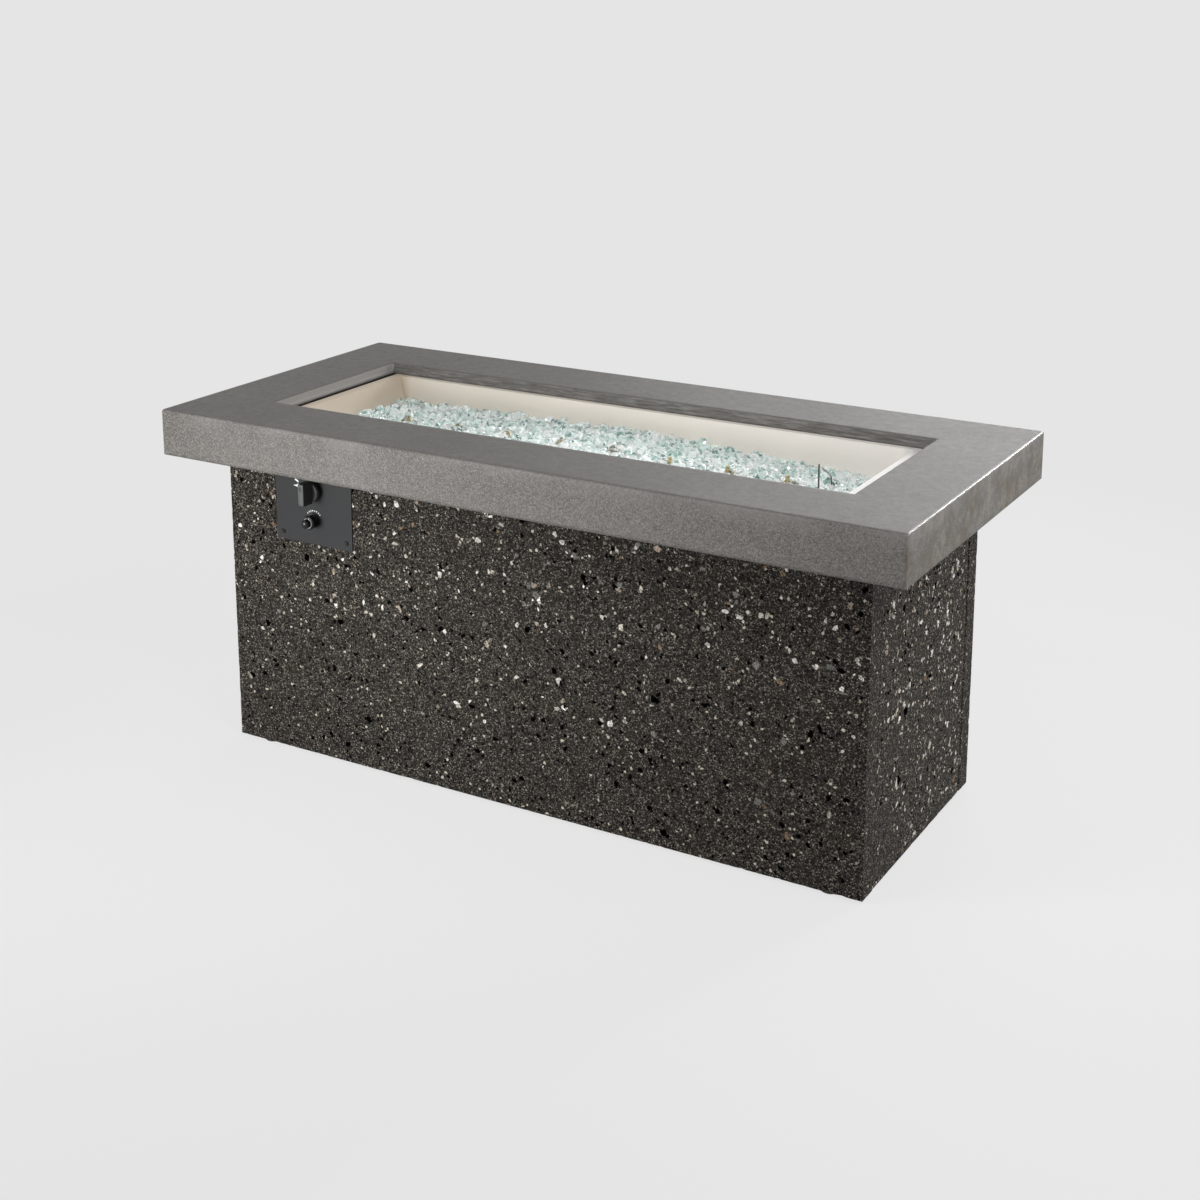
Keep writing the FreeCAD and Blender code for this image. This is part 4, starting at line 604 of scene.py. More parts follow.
def slab_points():
    """Every line of the section as a loop of points, pressed in along its normal by its relief.
    The normal is the cross product of the ways to the next points along and across the loop."""
    rows = []
    for size_x, size_y, radius, height in section:
        loop = rounded_loop(size_x, size_y, radius)
        rows.append(np.column_stack([loop, np.full(len(loop), height)]))
    points = np.array(rows)
    along = np.roll(points, -1, 1) - np.roll(points, 1, 1)
    across = np.roll(points, -1, 0) - np.roll(points, 1, 0)
    outward = np.cross(along, across)
    outward /= np.maximum(np.linalg.norm(outward, axis=-1, keepdims=True), 1e-12)
    inside = (np.abs(points[..., 0]) < opening_x + 0.001) & (np.abs(points[..., 1]) < opening_y + 0.001)
    cut = inside & (points[..., 2] < top - 0.0005)
    streaks = lumps(points * np.array([1.0, 1.0, 7.0]), 0.014, 5) + 0.6 * lumps(points, 0.005, 6)
    waves = 0.00012 * lumps(points, 0.06, 2) + 0.00006 * lumps(points, 0.013, 3)
    shy = 0.00002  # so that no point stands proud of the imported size
    amount = np.minimum(np.where(cut, 0.00035 * streaks, waves), 0.0) - shy
    return points + outward * amount[..., None]


slab = slab_points()
slab_piece = piece("cast_top_shell", slab, grid_faces(*slab.shape[:2], True, True), finishes["cast_top"])
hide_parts("top_slab")

# %% [markdown]
# ## The base panels
# Each panel is a cast tray: a face that shows, a small round along its edges, four sides, a
# flat rim and a hollow behind. The face and the hollow's floor are two grids with the same
# lines, and rings of points join their borders. The cells of the front panel's control
# opening are left out of both grids, and short walls close the gap between them.

# %% A cast tray from two grids and the rings between them


def spaced(low, high, pitch, stops=()):
    """Lines from low to high about a pitch apart, with a line exactly at each stop."""
    marks = [low, *stops, high]
    parts = []
    for start, finish in zip(marks, marks[1:]):
        count = max(1, round((finish - start) / pitch))
        parts.append(np.linspace(start, finish, count, endpoint=False))
    return np.append(np.concatenate(parts), high)


def border(columns, rows, first=0):
    """The point numbers round a grid's border, anticlockwise from its first corner."""
    low = np.arange(columns)
    right = np.arange(1, rows) * columns + columns - 1
    high = (rows - 1) * columns + np.arange(columns - 2, -1, -1)
    left = np.arange(rows - 2, 0, -1) * columns
    return first + np.concatenate([low, right, high, left])


def between(ring, following):
    """The quads between two closed rings of point numbers."""
    return np.stack([ring, following, np.roll(following, -1), np.roll(ring, -1)], -1)


def cast_relief(points):
    """How far the rough face stands out or in at each point: fine grit, lumps and slow waves."""
    kinds = ((0.00028, 0.0045, 11), (0.00016, 0.012, 12), (0.0002, 0.07, 13))
    return sum(height * lumps(points, size, key) for height, size, key in kinds)


def tray(corner, along, up, width, height, depth, rims, skin, pitch, hole=None):
    """The points and quads of a tray panel whose face starts at corner. hole is its low and high corner.
    Each point is corner + a * along + b * up - depth * outward, and the rough face adds its relief."""
    along, up = np.array(along, float), np.array(up, float)
    outward = np.cross(along, up)
    edge = 0.002
    stops_a = () if hole is None else (hole[0][0], hole[1][0])
    stops_b = () if hole is None else (hole[0][1], hole[1][1])
    lines_a = spaced(edge, width - edge, pitch, stops_a)
    lines_b = spaced(edge, height - edge, pitch, stops_b)
    keep_a = (edge, *stops_a, width - edge)
    keep_b = (edge, *stops_b, height - edge)
    floor_a = np.interp(lines_a, keep_a, (rims[0], *stops_a, width - rims[0]))
    floor_b = np.interp(lines_b, keep_b, (rims[1], *stops_b, height - rims[1]))
    columns, rows = len(lines_a), len(lines_b)
    first_ring = border(columns, rows)
    row_of, column_of = np.divmod(first_ring, columns)
    side_a = (column_of == columns - 1).astype(float) - (column_of == 0)
    side_b = (row_of == rows - 1).astype(float) - (row_of == 0)

    def flat(a, b, deep):
        """Points at given distances along and up, at a depth behind the face."""
        a, b, deep = np.broadcast_arrays(a, b, deep)
        return np.array(corner) + a[..., None] * along + b[..., None] * up - deep[..., None] * outward

    grid_a, grid_b = np.meshgrid(lines_a, lines_b)
    face = flat(grid_a, grid_b, 0.0).reshape(-1, 3)
    points = [face + outward * cast_relief(face)[:, None]]
    rings = [first_ring]
    total = len(face)
    ring_a, ring_b = lines_a[column_of], lines_b[row_of]
    sideways = side_a[:, None] * along + side_b[:, None] * up
    turns = np.radians((35, 65, 90))
    bends = [(edge * math.sin(turn), edge * (1 - math.cos(turn)), turn) for turn in turns]
    sides = np.linspace(edge, depth, max(3, round(depth / pitch)))[1:]
    bends += [(edge, deep, math.pi / 2) for deep in sides]
    for out, deep, turn in bends:
        ring = flat(ring_a + side_a * out, ring_b + side_b * out, deep)
        away = math.cos(turn) * outward + math.sin(turn) * sideways
        nick = np.clip(lumps(ring, 0.009, 14) - 0.35, 0, 1) * 0.0022 * math.exp(-deep / 0.006)
        amount = np.minimum(cast_relief(ring), 0.0) - nick
        points.append(ring + away * amount[:, None])
        rings.append(total + np.arange(len(ring)))
        total += len(ring)
    hollow_a, hollow_b = floor_a[column_of], floor_b[row_of]
    for deep in (depth, (depth + skin) / 2):
        points.append(flat(hollow_a, hollow_b, deep))
        rings.append(total + np.arange(len(hollow_a)))
        total += len(hollow_a)
    floor_grid_a, floor_grid_b = np.meshgrid(floor_a, floor_b)
    points.append(flat(floor_grid_a, floor_grid_b, skin).reshape(-1, 3))
    rings.append(border(columns, rows, total))
    quads = grid_faces(rows, columns)
    solid = np.ones(len(quads), bool)
    walls = []
    if hole is not None:
        i0, i1 = np.searchsorted(lines_a, np.array(stops_a) - 1e-6)
        j0, j1 = np.searchsorted(lines_b, np.array(stops_b) - 1e-6)
        cell_row, cell_column = np.divmod(np.arange(len(quads)), columns - 1)
        solid = ~((cell_column >= i0) & (cell_column < i1) & (cell_row >= j0) & (cell_row < j1))
        loop = np.concatenate([
            j0 * columns + np.arange(i0, i1), np.arange(j0, j1) * columns + i1,
            j1 * columns + np.arange(i1, i0, -1), np.arange(j1, j0, -1) * columns + i0,
        ])
        walls = [between(loop, loop + total)[:, ::-1]]
    faces = [quads[solid], (quads[solid] + total)[:, ::-1]]
    faces += [between(ring, following) for ring, following in zip(rings, rings[1:])]
    return np.concatenate(points), np.concatenate(faces + walls)


print("tray helper ready")

# %% The four panels
panels = {
    "front_panel": ((1, 0, 0), (0.075, 0.020), 0.0042, "table"),
    "back_panel": ((-1, 0, 0), (0.075, 0.020), 0.0042, "back_panel"),
    "left_end_panel": ((0, -1, 0), (0.040, 0.020), 0.0034, "table"),
    "right_end_panel": ((0, 1, 0), (0.040, 0.020), 0.0034, "table"),
}
plate_low, plate_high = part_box("control_plate")
panel_skin = 0.010
cover_x, cover_z = 0.0235, 0.016  # the plate covers the front panel's opening by this much
faces_of = {}


def within_plate(corner, inset_x, inset_z):
    """The plate's outline moved inwards, as distances along and up from the front panel's corner."""
    low = (plate_low.x - corner[0] + inset_x, plate_low.z - corner[2] + inset_z)
    high = (plate_high.x - corner[0] - inset_x, plate_high.z - corner[2] - inset_z)
    return low, high


for node, (along, rims, pitch, body) in panels.items():
    low, high = (np.array(end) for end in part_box(node))
    along = np.array(along, float)
    outward = np.cross(along, (0, 0, 1))
    middle = (low + high) / 2
    span = high - low
    width, depth = abs(along @ span), abs(outward @ span)
    corner = middle - along * width / 2 + outward * depth / 2
    corner[2] = low[2]
    hole = within_plate(corner, cover_x, cover_z) if node == "front_panel" else None
    points, faces = tray(corner, along, (0, 0, 1), width, span[2], depth, rims, panel_skin, pitch, hole)
    item = piece(node + "_cast", points, faces, finishes["fleck_panel"], body)
    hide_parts(node)
    faces_of[node] = (corner, along, outward, width, span[2], body)

# %% [markdown]
# ## Stone chips set in the faces
# Pale stone, shell, tan grit and black glassy lava lie scattered in the face, each ground
# almost flush. A chip here is a low, closed, eight-sided stone with its own outline, tilt
# and tone. There are thousands, so each has only a few faces, and the tone is kept on the
# points, where one finish reads it. More of them lie towards the top of each face.

# %% The chips' finish


def chip_finish(name):
    """Broken stone whose tone comes from its own points."""
    material = new_finish(name, Specular_IOR_Level=0.0)
    tone = add(material, "Attribute", attribute_name="tone").outputs["Color"]
    place = place_of(material)
    cloud = noise(material, place, 0.0026, 2.0)
    shade = step(material, cloud, 0.48, 0.6, 0.0, 0.85)
    feed(material, "Base Color", blend(material, shade, tone, grey(0.3, 0.05), "MULTIPLY"))
    feed(material, "Roughness", step(material, cloud, 0.3, 0.7, 0.3, 0.6))
    relief(material, cloud, 0.0003, 0.6)
    return material


chip_material = chip_finish("stone_chips")
print("chip finish ready")

# %% Chips on one face
sides = 8
lower = np.arange(sides)
after = (lower + 1) % sides
peak, foot = np.full(sides, 2 * sides), np.full(sides, 2 * sides + 1)
chip_faces = np.concatenate([
    np.stack([lower, after, after + sides], -1),
    np.stack([lower, after + sides, lower + sides], -1),
    np.stack([lower + sides, after + sides, peak], -1),
    np.stack([after, lower, foot], -1),
])
large_chip, small_chip, largest = 0.004, 0.0014, 0.0085
stone_tones = np.array([
    (0.8, 0.775, 0.73), (0.62, 0.57, 0.5), (0.4, 0.34, 0.27), (0.24, 0.17, 0.11), (0.2, 0.195, 0.18),
])
stone_shares = np.array([0.34, 0.24, 0.16, 0.06, 0.2])
black_lava = 0.0012


def scattered(count, lean, width, height, bare):
    """Places on a face, as shares of its width and height. A try stays where a third random number
    is under 0.35 + lean * (0.4 * share along + 0.6 * share up). A quarter then move near another.
    bare is a rectangle that stays without any, under the control plate."""
    tries = chance.random((count * 3, 3))
    wanted = 0.35 + lean * (0.4 * tries[:, 0] + 0.6 * tries[:, 1])
    chosen = tries[tries[:, 2] < wanted][:count, :2]
    count = len(chosen)
    clustered = chance.random(count) < 0.25
    parent = chance.integers(0, count, count)
    offset = chance.normal(0.0, 1.0, (count, 2)) * 0.006 / np.array([width, height])
    chosen[clustered] = np.clip(chosen[parent] + offset, 0.0, 1.0)[clustered]
    if bare is None:
        return chosen
    place = chosen * np.array([width, height])
    covered = np.all((place > np.array(bare[0])) & (place < np.array(bare[1])), axis=1)
    return chosen[~covered]


def chip_outlines(big):
    """Each chip's corners and size. A corner is its own radius times the cosine and sine of its angle,
    squeezed one way by the chip's slimness, and the whole is then turned by a random angle."""
    count = len(big)
    size = np.where(big, large_chip, small_chip)
    size = np.minimum(size * np.exp(chance.normal(0.0, 1.0, count) * np.where(big, 0.38, 0.34)), largest)
    angle = (np.arange(sides) / sides + chance.random((count, 1))) * 2 * math.pi
    angle = angle + chance.normal(0, 0.16, angle.shape)
    radius = size[:, None] * chance.uniform(0.55, 1.25, angle.shape)
    slim_large, slim_small = chance.uniform(0.45, 1.0, (count, 1)), chance.uniform(0.25, 0.8, (count, 1))
    slim = np.where(big[:, None], slim_large, slim_small)
    turn = chance.uniform(0, math.pi, (count, 1))
    x, y = radius * np.cos(angle), radius * np.sin(angle) * slim
    return x * np.cos(turn) - y * np.sin(turn), x * np.sin(turn) + y * np.cos(turn), size[:, None]


def chips_on(name, corner, along, outward, width, height, body, count, large, lean, dark_share, bare=None):
    """Scatters chips over a face, a share of them large. lean draws them to the top and far end.
    Each has a buried ring, a tilted upper ring at 0.8 of its size, a peak and a foot."""
    up = np.array((0.0, 0.0, 1.0))
    chosen = scattered(count, lean, width, height, bare)
    count = len(chosen)
    big = chance.random(count) < large
    x, y, size = chip_outlines(big)
    tilt = chance.normal(0, 0.05, (2, count, 1))
    lift = 0.0002 + 0.00035 * chance.random((count, 1))
    inset = 0.0025 + 1.2 * size
    middle_a = inset + chosen[:, 0:1] * (width - 2 * inset)
    middle_b = inset + chosen[:, 1:2] * (height - 2 * inset)
    a = np.concatenate([middle_a + x, middle_a + 0.8 * x, middle_a, middle_a], 1)
    b = np.concatenate([middle_b + y, middle_b + 0.8 * y, middle_b, middle_b], 1)
    upper = lift + tilt[0] * x + tilt[1] * y
    buried = np.full_like(x, -0.0006)
    high = np.concatenate([buried, upper, lift + 0.0001, np.full_like(lift, -0.0012)], 1)
    points = corner + a[..., None] * along + b[..., None] * up + high[..., None] * outward
    per_chip = points.shape[1]
    faces = (np.arange(count)[:, None, None] * per_chip + chip_faces).reshape(-1, 3)
    item = piece(name, points, faces, chip_material, body, smooth=False)
    tones = stone_tones[chance.choice(len(stone_tones), count, p=stone_shares)]
    tones = tones * chance.uniform(0.75, 1.15, (count, 1))
    glassy = chance.random(count) < np.where(big, 0.25, 0.1) + 0.5 * (1 - chosen[:, 1]) * dark_share
    tones[glassy] = black_lava
    tint(item, tones, per_chip)
    return item


# how many chips, the share of large ones, the lean and how much black lava lies low down
chip_plans = {
    "front_panel": (2200, 0.5, 0.9, 1.6), "back_panel": (1700, 0.5, 0.2, 1.0),
    "left_end_panel": (1200, 0.4, 0.75, 0.2), "right_end_panel": (1700, 0.4, 0.9, 0.1),
}
margin = 0.004
for node, (count, large, lean, dark_share) in chip_plans.items():
    corner, along, outward, width, height, body = faces_of[node]
    bare = within_plate(corner, margin, margin) if node == "front_panel" else None
    chips_on(node + "_stones", corner, along, outward, width, height, body,
             count, large, lean, dark_share, bare)

# %% [markdown]
# ## The fire glass
# The glass lies in a shallow heap, higher along the middle and lower at the right end. The
# heap's height is a smooth formula. Two layers of pebbles lie on it, each a tumbled lump
# with a few dozen faces, and a lumpy opaque bed fills the space below them. Pebbles over
# a burner jet are olive, because the brass shows through them.

# %% The height of the glass
pan_rim_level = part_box("burner_pan")[1].z
glass_low, glass_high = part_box("fire_glass")
measured_x = np.array([-0.52, -0.338, -0.163, 0.003, 0.122, 0.238, 0.349, 0.438, 0.52])
measured_depth = np.array([0.056, 0.052, 0.048, 0.0445, 0.05, 0.057, 0.062, 0.066, 0.066])


def glass_height(x, y):
    """The top's level less a depth read between the measured ones along the back wall, plus a low
    crown: its rise times the cosine of a quarter turn from the middle to the walls."""
    back = top - np.interp(x, measured_x, measured_depth)
    rise = 0.004 + 0.007 * np.clip((x - 0.1) / 0.25, 0, 1)
    crown = rise * np.cos(np.clip(y / 0.15, -1, 1) * math.pi / 2)
    return back - 0.006 + crown


print("glass from", round(glass_low.z, 4), "to", round(glass_high.z, 4))

# %% The opaque bed
bed_pitch = 0.005
bed_x = np.arange(glass_low.x + 0.002, glass_high.x - 0.001, bed_pitch)
bed_y = np.arange(glass_low.y + 0.002, glass_high.y - 0.001, bed_pitch)
bed_grid_x, bed_grid_y = np.meshgrid(bed_x, bed_y)
bed_top = glass_height(bed_grid_x, bed_grid_y) - 0.007
bed_points = np.stack([bed_grid_x, bed_grid_y, bed_top], -1)
bed_points[..., 2] += 0.0016 * lumps(bed_points, 0.009, 21)
bed_floor = np.stack([bed_grid_x, bed_grid_y, np.full_like(bed_grid_x, glass_low.z)], -1)
rows, columns = bed_grid_x.shape
quads = grid_faces(rows, columns)
edge_ring = border(columns, rows)
offset = rows * columns
bed_faces = np.concatenate([quads, (quads + offset)[:, ::-1], between(edge_ring, edge_ring + offset)])
bed_all = np.concatenate([bed_points.reshape(-1, 3), bed_floor.reshape(-1, 3)])
bed = piece("glass_bed", bed_all, bed_faces, bed_finish)
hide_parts("fire_glass")

# %% One tumbled pebble's grid


def cube_ball():
    """A small closed ball from a cube with its faces cut in four: 26 points and 24 quads."""
    steps = np.array([-1.0, 0.0, 1.0])
    points, faces = [], []
    for axis in range(3):
        for side in (-1.0, 1.0):
            u, v = np.meshgrid(steps, steps, indexing="ij")
            patch = np.zeros((3, 3, 3))
            patch[..., axis] = side
            patch[..., (axis + 1) % 3] = u
            patch[..., (axis + 2) % 3] = v
            quads = np.array([[0, 3, 4, 1], [1, 4, 5, 2], [3, 6, 7, 4], [4, 7, 8, 5]])
            faces.append((quads if side > 0 else quads[:, ::-1]) + 9 * len(points))
            points.append(patch.reshape(-1, 3))
    points, faces = np.concatenate(points), np.concatenate(faces)
    unique, number = np.unique(points, axis=0, return_inverse=True)
    unique = unique / np.linalg.norm(unique, axis=1, keepdims=True) ** 0.75
    return unique, number.reshape(-1)[faces]


ball_points, ball_faces = cube_ball()
print("points in a pebble:", len(ball_points))

# %% Two layers of pebbles
glass_tones = np.array([(0.98, 1.0, 0.99), (0.84, 0.95, 0.92), (0.55, 0.74, 0.69), (0.3, 0.45, 0.42)])
glass_shares = np.array([0.54, 0.22, 0.14, 0.1])
olive_tone = np.array([0.34, 0.32, 0.22])
first_jet, jet_pitch, jets = -0.386, 0.107, 8
olive_x, olive_y = 0.011, 0.012  # how far from a jet's middle a pebble still shows it
ceramic_low, ceramic_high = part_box("electrode_ceramic")
ceramic = (ceramic_low + ceramic_high) / 2
pan_floor_half, pan_mouth_half = (0.4985, 0.1495), (0.5175, 0.1575)


def turned_ways(count):
    """Random turns as three-by-three arrays, from random quaternions."""
    q = chance.normal(size=(count, 4))
    w, x, y, z = (q / np.linalg.norm(q, axis=1, keepdims=True)).T
    rows = [[1 - 2 * (y * y + z * z), 2 * (x * y - z * w), 2 * (x * z + y * w)],
            [2 * (x * y + z * w), 1 - 2 * (x * x + z * z), 2 * (y * z - x * w)],
            [2 * (x * z - y * w), 2 * (y * z + x * w), 1 - 2 * (x * x + y * y)]]
    return np.moveaxis(np.array(rows), -1, 0)


def pushed_inside(points):
    """Pebbles that would reach past a sloping wall of the pan, moved inwards by that much."""
    climb = np.clip((points[..., 2] - glass_low.z) / (pan_rim_level - glass_low.z), 0, 1)
    for axis in (0, 1):
        wall = pan_floor_half[axis] + (pan_mouth_half[axis] - pan_floor_half[axis]) * climb
        beyond = np.maximum(np.abs(points[..., axis]) - wall, 0).max(1)
        points[..., axis] -= (beyond * np.sign(points[..., axis].mean(1)))[:, None]
    return points


def pebbles(name, pitch, drop, margin):
    """One layer of pebbles on a jittered hexagonal grid, lying a drop below the heap's height. A hollow
    round the ceramic is 0.011 * exp(-(distance / 0.03) squared) deep, so that the rod shows."""
    x = np.arange(glass_low.x + margin, glass_high.x - margin, pitch)
    y = np.arange(glass_low.y + margin, glass_high.y - margin, pitch * 0.87)
    grid_x, grid_y = np.meshgrid(x, y)
    grid_x[1::2] += pitch / 2
    middles = np.stack([grid_x, grid_y], -1).reshape(-1, 2)
    middles += chance.normal(0, pitch * 0.16, middles.shape)
    rod_gap = np.hypot(middles[:, 0] - ceramic.x, middles[:, 1] - ceramic.y)
    height = glass_height(middles[:, 0], middles[:, 1]) - drop + chance.normal(0, 0.0016, len(middles))
    height -= 0.011 * np.exp(-(rod_gap / 0.03) ** 2)
    count = len(middles)
    size = chance.uniform(0.007, 0.0118, (count, 1)) * chance.uniform(0.78, 1.12, (count, 3))
    shapes = ball_points[None] * chance.uniform(0.9, 1.08, (count, len(ball_points), 1)) * size[:, None]
    shapes = np.einsum("nij,nkj->nki", turned_ways(count), shapes)
    points = pushed_inside(shapes + np.column_stack([middles, height])[:, None])
    faces = (np.arange(count)[:, None, None] * len(ball_points) + ball_faces).reshape(-1, 4)
    item = piece(name, points, faces, finishes["aqua_glass"])
    item.visible_shadow = False
    tones = glass_tones[chance.choice(len(glass_tones), count, p=glass_shares)]
    jet = np.clip(np.round((middles[:, 0] - first_jet) / jet_pitch), 0, jets - 1)
    gap = np.abs(middles[:, 0] - first_jet - jet * jet_pitch)
    over_jet = (gap < olive_x) & (np.abs(middles[:, 1]) < olive_y)
    tones = np.where(over_jet[:, None], olive_tone, tones)
    tint(item, tones, len(ball_points))
    return item


pebbles("glass_pebbles_upper", 0.0166, 0.004, 0.0125)
pebbles("glass_pebbles_lower", 0.0172, 0.0115, 0.0135)

# %% [markdown]
# ## The knob and the igniter
# The small parts at the control plate are turned: a moulded knob disc with a soft rim, the
# igniter's ribbed cap and its domed button. A turned part is a profile of radii and
# distances carried once round an axis that points to the front. The ribs are part of the
# same formula: the radius falls a little, many times round, where the profile says so.
# The disc is hollow behind, so that it clears the valve's screws when it is pushed in.

# %% A turned part
knob_low, knob_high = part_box("control_knob")
cap_low, cap_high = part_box("igniter_cap")
button_low, button_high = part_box("igniter_button")
knob_middle = (knob_low + knob_high) / 2
cap_middle = (cap_low + cap_high) / 2


def turned_part(name, profile, middle, back, finish, body="table", ribs=0, around=96):
    """Each row of the profile is a radius, a distance to the front and how deep the ribs cut there.
    The point at an angle is (radius - depth * wave) times its sine and cosine. A radius of 0 is a pole."""
    radius, forward, depth = np.array(profile, float).T
    angle = np.arange(around) / around * 2 * math.pi
    wave = np.clip(np.cos(angle * ribs), 0.0, 1.0) if ribs else np.zeros(around)
    open_ends = radius[0] == 0
    rows = slice(1, -1) if open_ends else slice(None)
    reach = radius[rows, None] - depth[rows, None] * wave
    y = np.broadcast_to(back - forward[rows, None], reach.shape)
    points = np.stack([middle.x + reach * np.cos(angle), y, middle.z + reach * np.sin(angle)], -1)
    count = len(points)
    points = points.reshape(-1, 3)
    faces = grid_faces(count, around, not open_ends, True).tolist()
    if open_ends:
        poles = [(middle.x, back - forward[0], middle.z), (middle.x, back - forward[-1], middle.z)]
        points = np.concatenate([points, poles])
        ring = np.arange(around)
        after = (ring + 1) % around
        last = (count - 1) * around
        faces += np.stack([after, ring, np.full(around, count * around)], -1).tolist()
        faces += np.stack([last + ring, last + after, np.full(around, count * around + 1)], -1).tolist()
    return piece(name, points, faces, finish, body)


print("knob axis at", round(knob_middle.x, 4), round(knob_middle.z, 4))

# %% The knob's disc, the igniter's cap and button
soft_black = grained("soft_black", grey(0.045), grey(0.032), 0.0008, (0.34, 0.44), 0.00003)
deep_black = grained(
    "deep_black", grey(0.007), grey(0.005), 0.0008, (0.22, 0.34), 0.00003, Specular_IOR_Level=0.3)
frame["nodes"]["plate_screws"].data.materials[0] = deep_black
disc_back, disc_rim = knob_high.y, knob_high.x - knob_middle.x
hub, moat, moat_deep = 0.0071, 0.0169, 0.0035  # the ring behind the disc that clears the valve's screws
disc_profile = [(0, 0, 0), (hub, 0, 0), (hub, moat_deep, 0), (moat, moat_deep, 0), (moat, 0.0002, 0),
                (0.0175, 0, 0), (0.0182, 0.0003, 0), (disc_rim, 0.0011, 0), (disc_rim, 0.0060, 0),
                (0.0182, 0.0075, 0), (0.0174, 0.0085, 0), (0.0163, 0.0090, 0), (0.0150, 0.0090, 0),
                (0.0138, 0.0085, 0), (0.0120, 0.0082, 0), (0, 0.0082, 0)]
disc = turned_part("knob_disc", disc_profile, knob_middle, disc_back, soft_black, "knob")
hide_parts("control_knob")

cap_rim, cap_long = cap_high.x - cap_middle.x, cap_high.y - cap_low.y
rib = 0.0005
cap_profile = [(0.0094, 0, 0), (cap_rim, 0, 0), (cap_rim, 0.0012, 0), (cap_rim, 0.0018, rib),
               (cap_rim, cap_long - 0.0034, rib), (cap_rim, cap_long - 0.0028, 0),
               (cap_rim - 0.0006, cap_long - 0.0012, 0), (cap_rim - 0.0018, cap_long, 0),
               (0.0081, cap_long, 0), (0.0079, cap_long - 0.0003, 0), (0.0079, cap_long - 0.0016, 0),
               (0.0094, cap_long - 0.0018, 0)]
cap = turned_part(
    "igniter_cap_ribbed", cap_profile, cap_middle, cap_high.y, deep_black, ribs=36, around=288)
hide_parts("igniter_cap")

stem, flange = 0.0076, button_high.x - cap_middle.x
button_long = button_high.y - button_low.y
dome = 0.0048
button_profile = [(0, 0, 0), (flange - 0.0002, 0, 0), (flange, 0.0002, 0), (flange, 0.0018, 0),
                  (flange - 0.0003, 0.002, 0), (stem, 0.0021, 0), (stem, button_long - dome, 0)]
for angle in np.radians((15, 30, 45, 60, 75, 85)):
    button_profile.append((stem * math.cos(angle), button_long - dome * (1 - math.sin(angle)), 0))
button_profile.append((0, button_long, 0))
button = turned_part(
    "igniter_button_domed", button_profile, cap_middle, button_high.y, deep_black, "button")
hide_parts("igniter_button")

# %% [markdown]
# ## The knob's grip
# The bar that the fingers turn is a loft: one rounded rectangle carried forward, drawn in a
# little for the mould's draft and rounded over at the front. The front closes in rings
# that shrink to the middle, and a small pointer notch is pressed into them near the top.

# %% The grip


def grip_ring(half_wide, half_tall, radius, count=112):
    """A rounded rectangle's points at even angles: the straight part of each side plus a quarter circle."""
    quarter = count // 4
    turn = np.linspace(0, math.pi / 2, quarter // 2, endpoint=False)
    flat_x, flat_z = half_wide - radius, half_tall - radius
    signs = ((1, 1), (-1, 1), (-1, -1), (1, -1))
    starts = ((flat_x, half_tall), (-half_wide, flat_z), (-flat_x, -half_tall), (half_wide, -flat_z))
    ends = ((-flat_x, half_tall), (-half_wide, -flat_z), (flat_x, -half_tall), (half_wide, flat_z))
    share = np.linspace(0, 1, quarter - len(turn), endpoint=False)[:, None]
    loop = []
    for corner, ((sign_x, sign_z), start, end) in enumerate(zip(signs, starts, ends)):
        angle = turn + corner * math.pi / 2
        arc_x = sign_x * flat_x + radius * np.cos(angle)
        arc_z = sign_z * flat_z + radius * np.sin(angle)
        loop += [np.stack([arc_x, arc_z], -1), np.array(start) * (1 - share) + np.array(end) * share]
    return np.concatenate(loop)


grip_front, grip_back = knob_low.y, disc_back - 0.0070
half_wide, half_tall = 0.0065, (knob_high.z - knob_low.z) / 2
draft_x, draft_z, round_over = 0.0004, 0.0005, 0.0018
corner_radius, sharp_radius = 0.0016, 0.0005
shoulder = grip_front + round_over
rings = []
for share in np.linspace(0, 1, 7):
    deep = grip_back + (shoulder - grip_back) * share
    rings.append((half_wide - draft_x * share, half_tall - draft_z * share, corner_radius, deep))
for angle in np.radians((25, 50, 70, 90)):
    draw_in = round_over * (1 - math.cos(angle))
    rings.append((half_wide - draft_x - draw_in, half_tall - draft_z - draw_in,
                  max(corner_radius - draw_in, sharp_radius), shoulder - round_over * math.sin(angle)))
last_wide, last_tall = rings[-1][0], rings[-1][1]
first_flat = len(rings)
for share in np.linspace(0.93, 0.02, 24):
    rings.append((last_wide * share, last_tall * share, sharp_radius * share, grip_front))
grip_points = []
for wide, tall, radius, deep in rings:
    loop = grip_ring(wide, tall, radius)
    grip_points.append(np.column_stack([loop, np.full(len(loop), deep)]))
across, upward, deep = np.moveaxis(np.array(grip_points), -1, 0)

notch_wide, notch_tall, notch_middle, notch_deep, notch_edge = 0.0011, 0.0036, 0.0105, 0.0012, 0.0005
edge_of_notch = np.maximum(np.abs(across) - notch_wide, np.abs(upward - notch_middle) - notch_tall)
on_front = np.arange(len(rings))[:, None] >= first_flat
deep = deep + notch_deep * np.clip(0.5 - edge_of_notch / notch_edge, 0, 1) * on_front
grip_points = np.stack([knob_middle.x + across, deep, knob_middle.z + upward], -1)
ring_size = grip_points.shape[1]
grip_faces = grid_faces(len(rings), ring_size, False, True)[:, ::-1].tolist()
grip_faces.append(list(range(ring_size)))
grip_faces.append(list(range((len(rings) - 1) * ring_size, len(rings) * ring_size))[::-1])
grip = piece("knob_grip", grip_points, grip_faces, soft_black, "knob", smooth=False)

# %% [markdown]
# ## White marks on the plate
# The plate carries a few white marks: an arc of short dashes above the igniter and two small
# wedges beside the knob. They are plain ticks that say nothing. Each is a thin raised
# shape: its outline on the plate, the same outline a little smaller on top, and a middle.

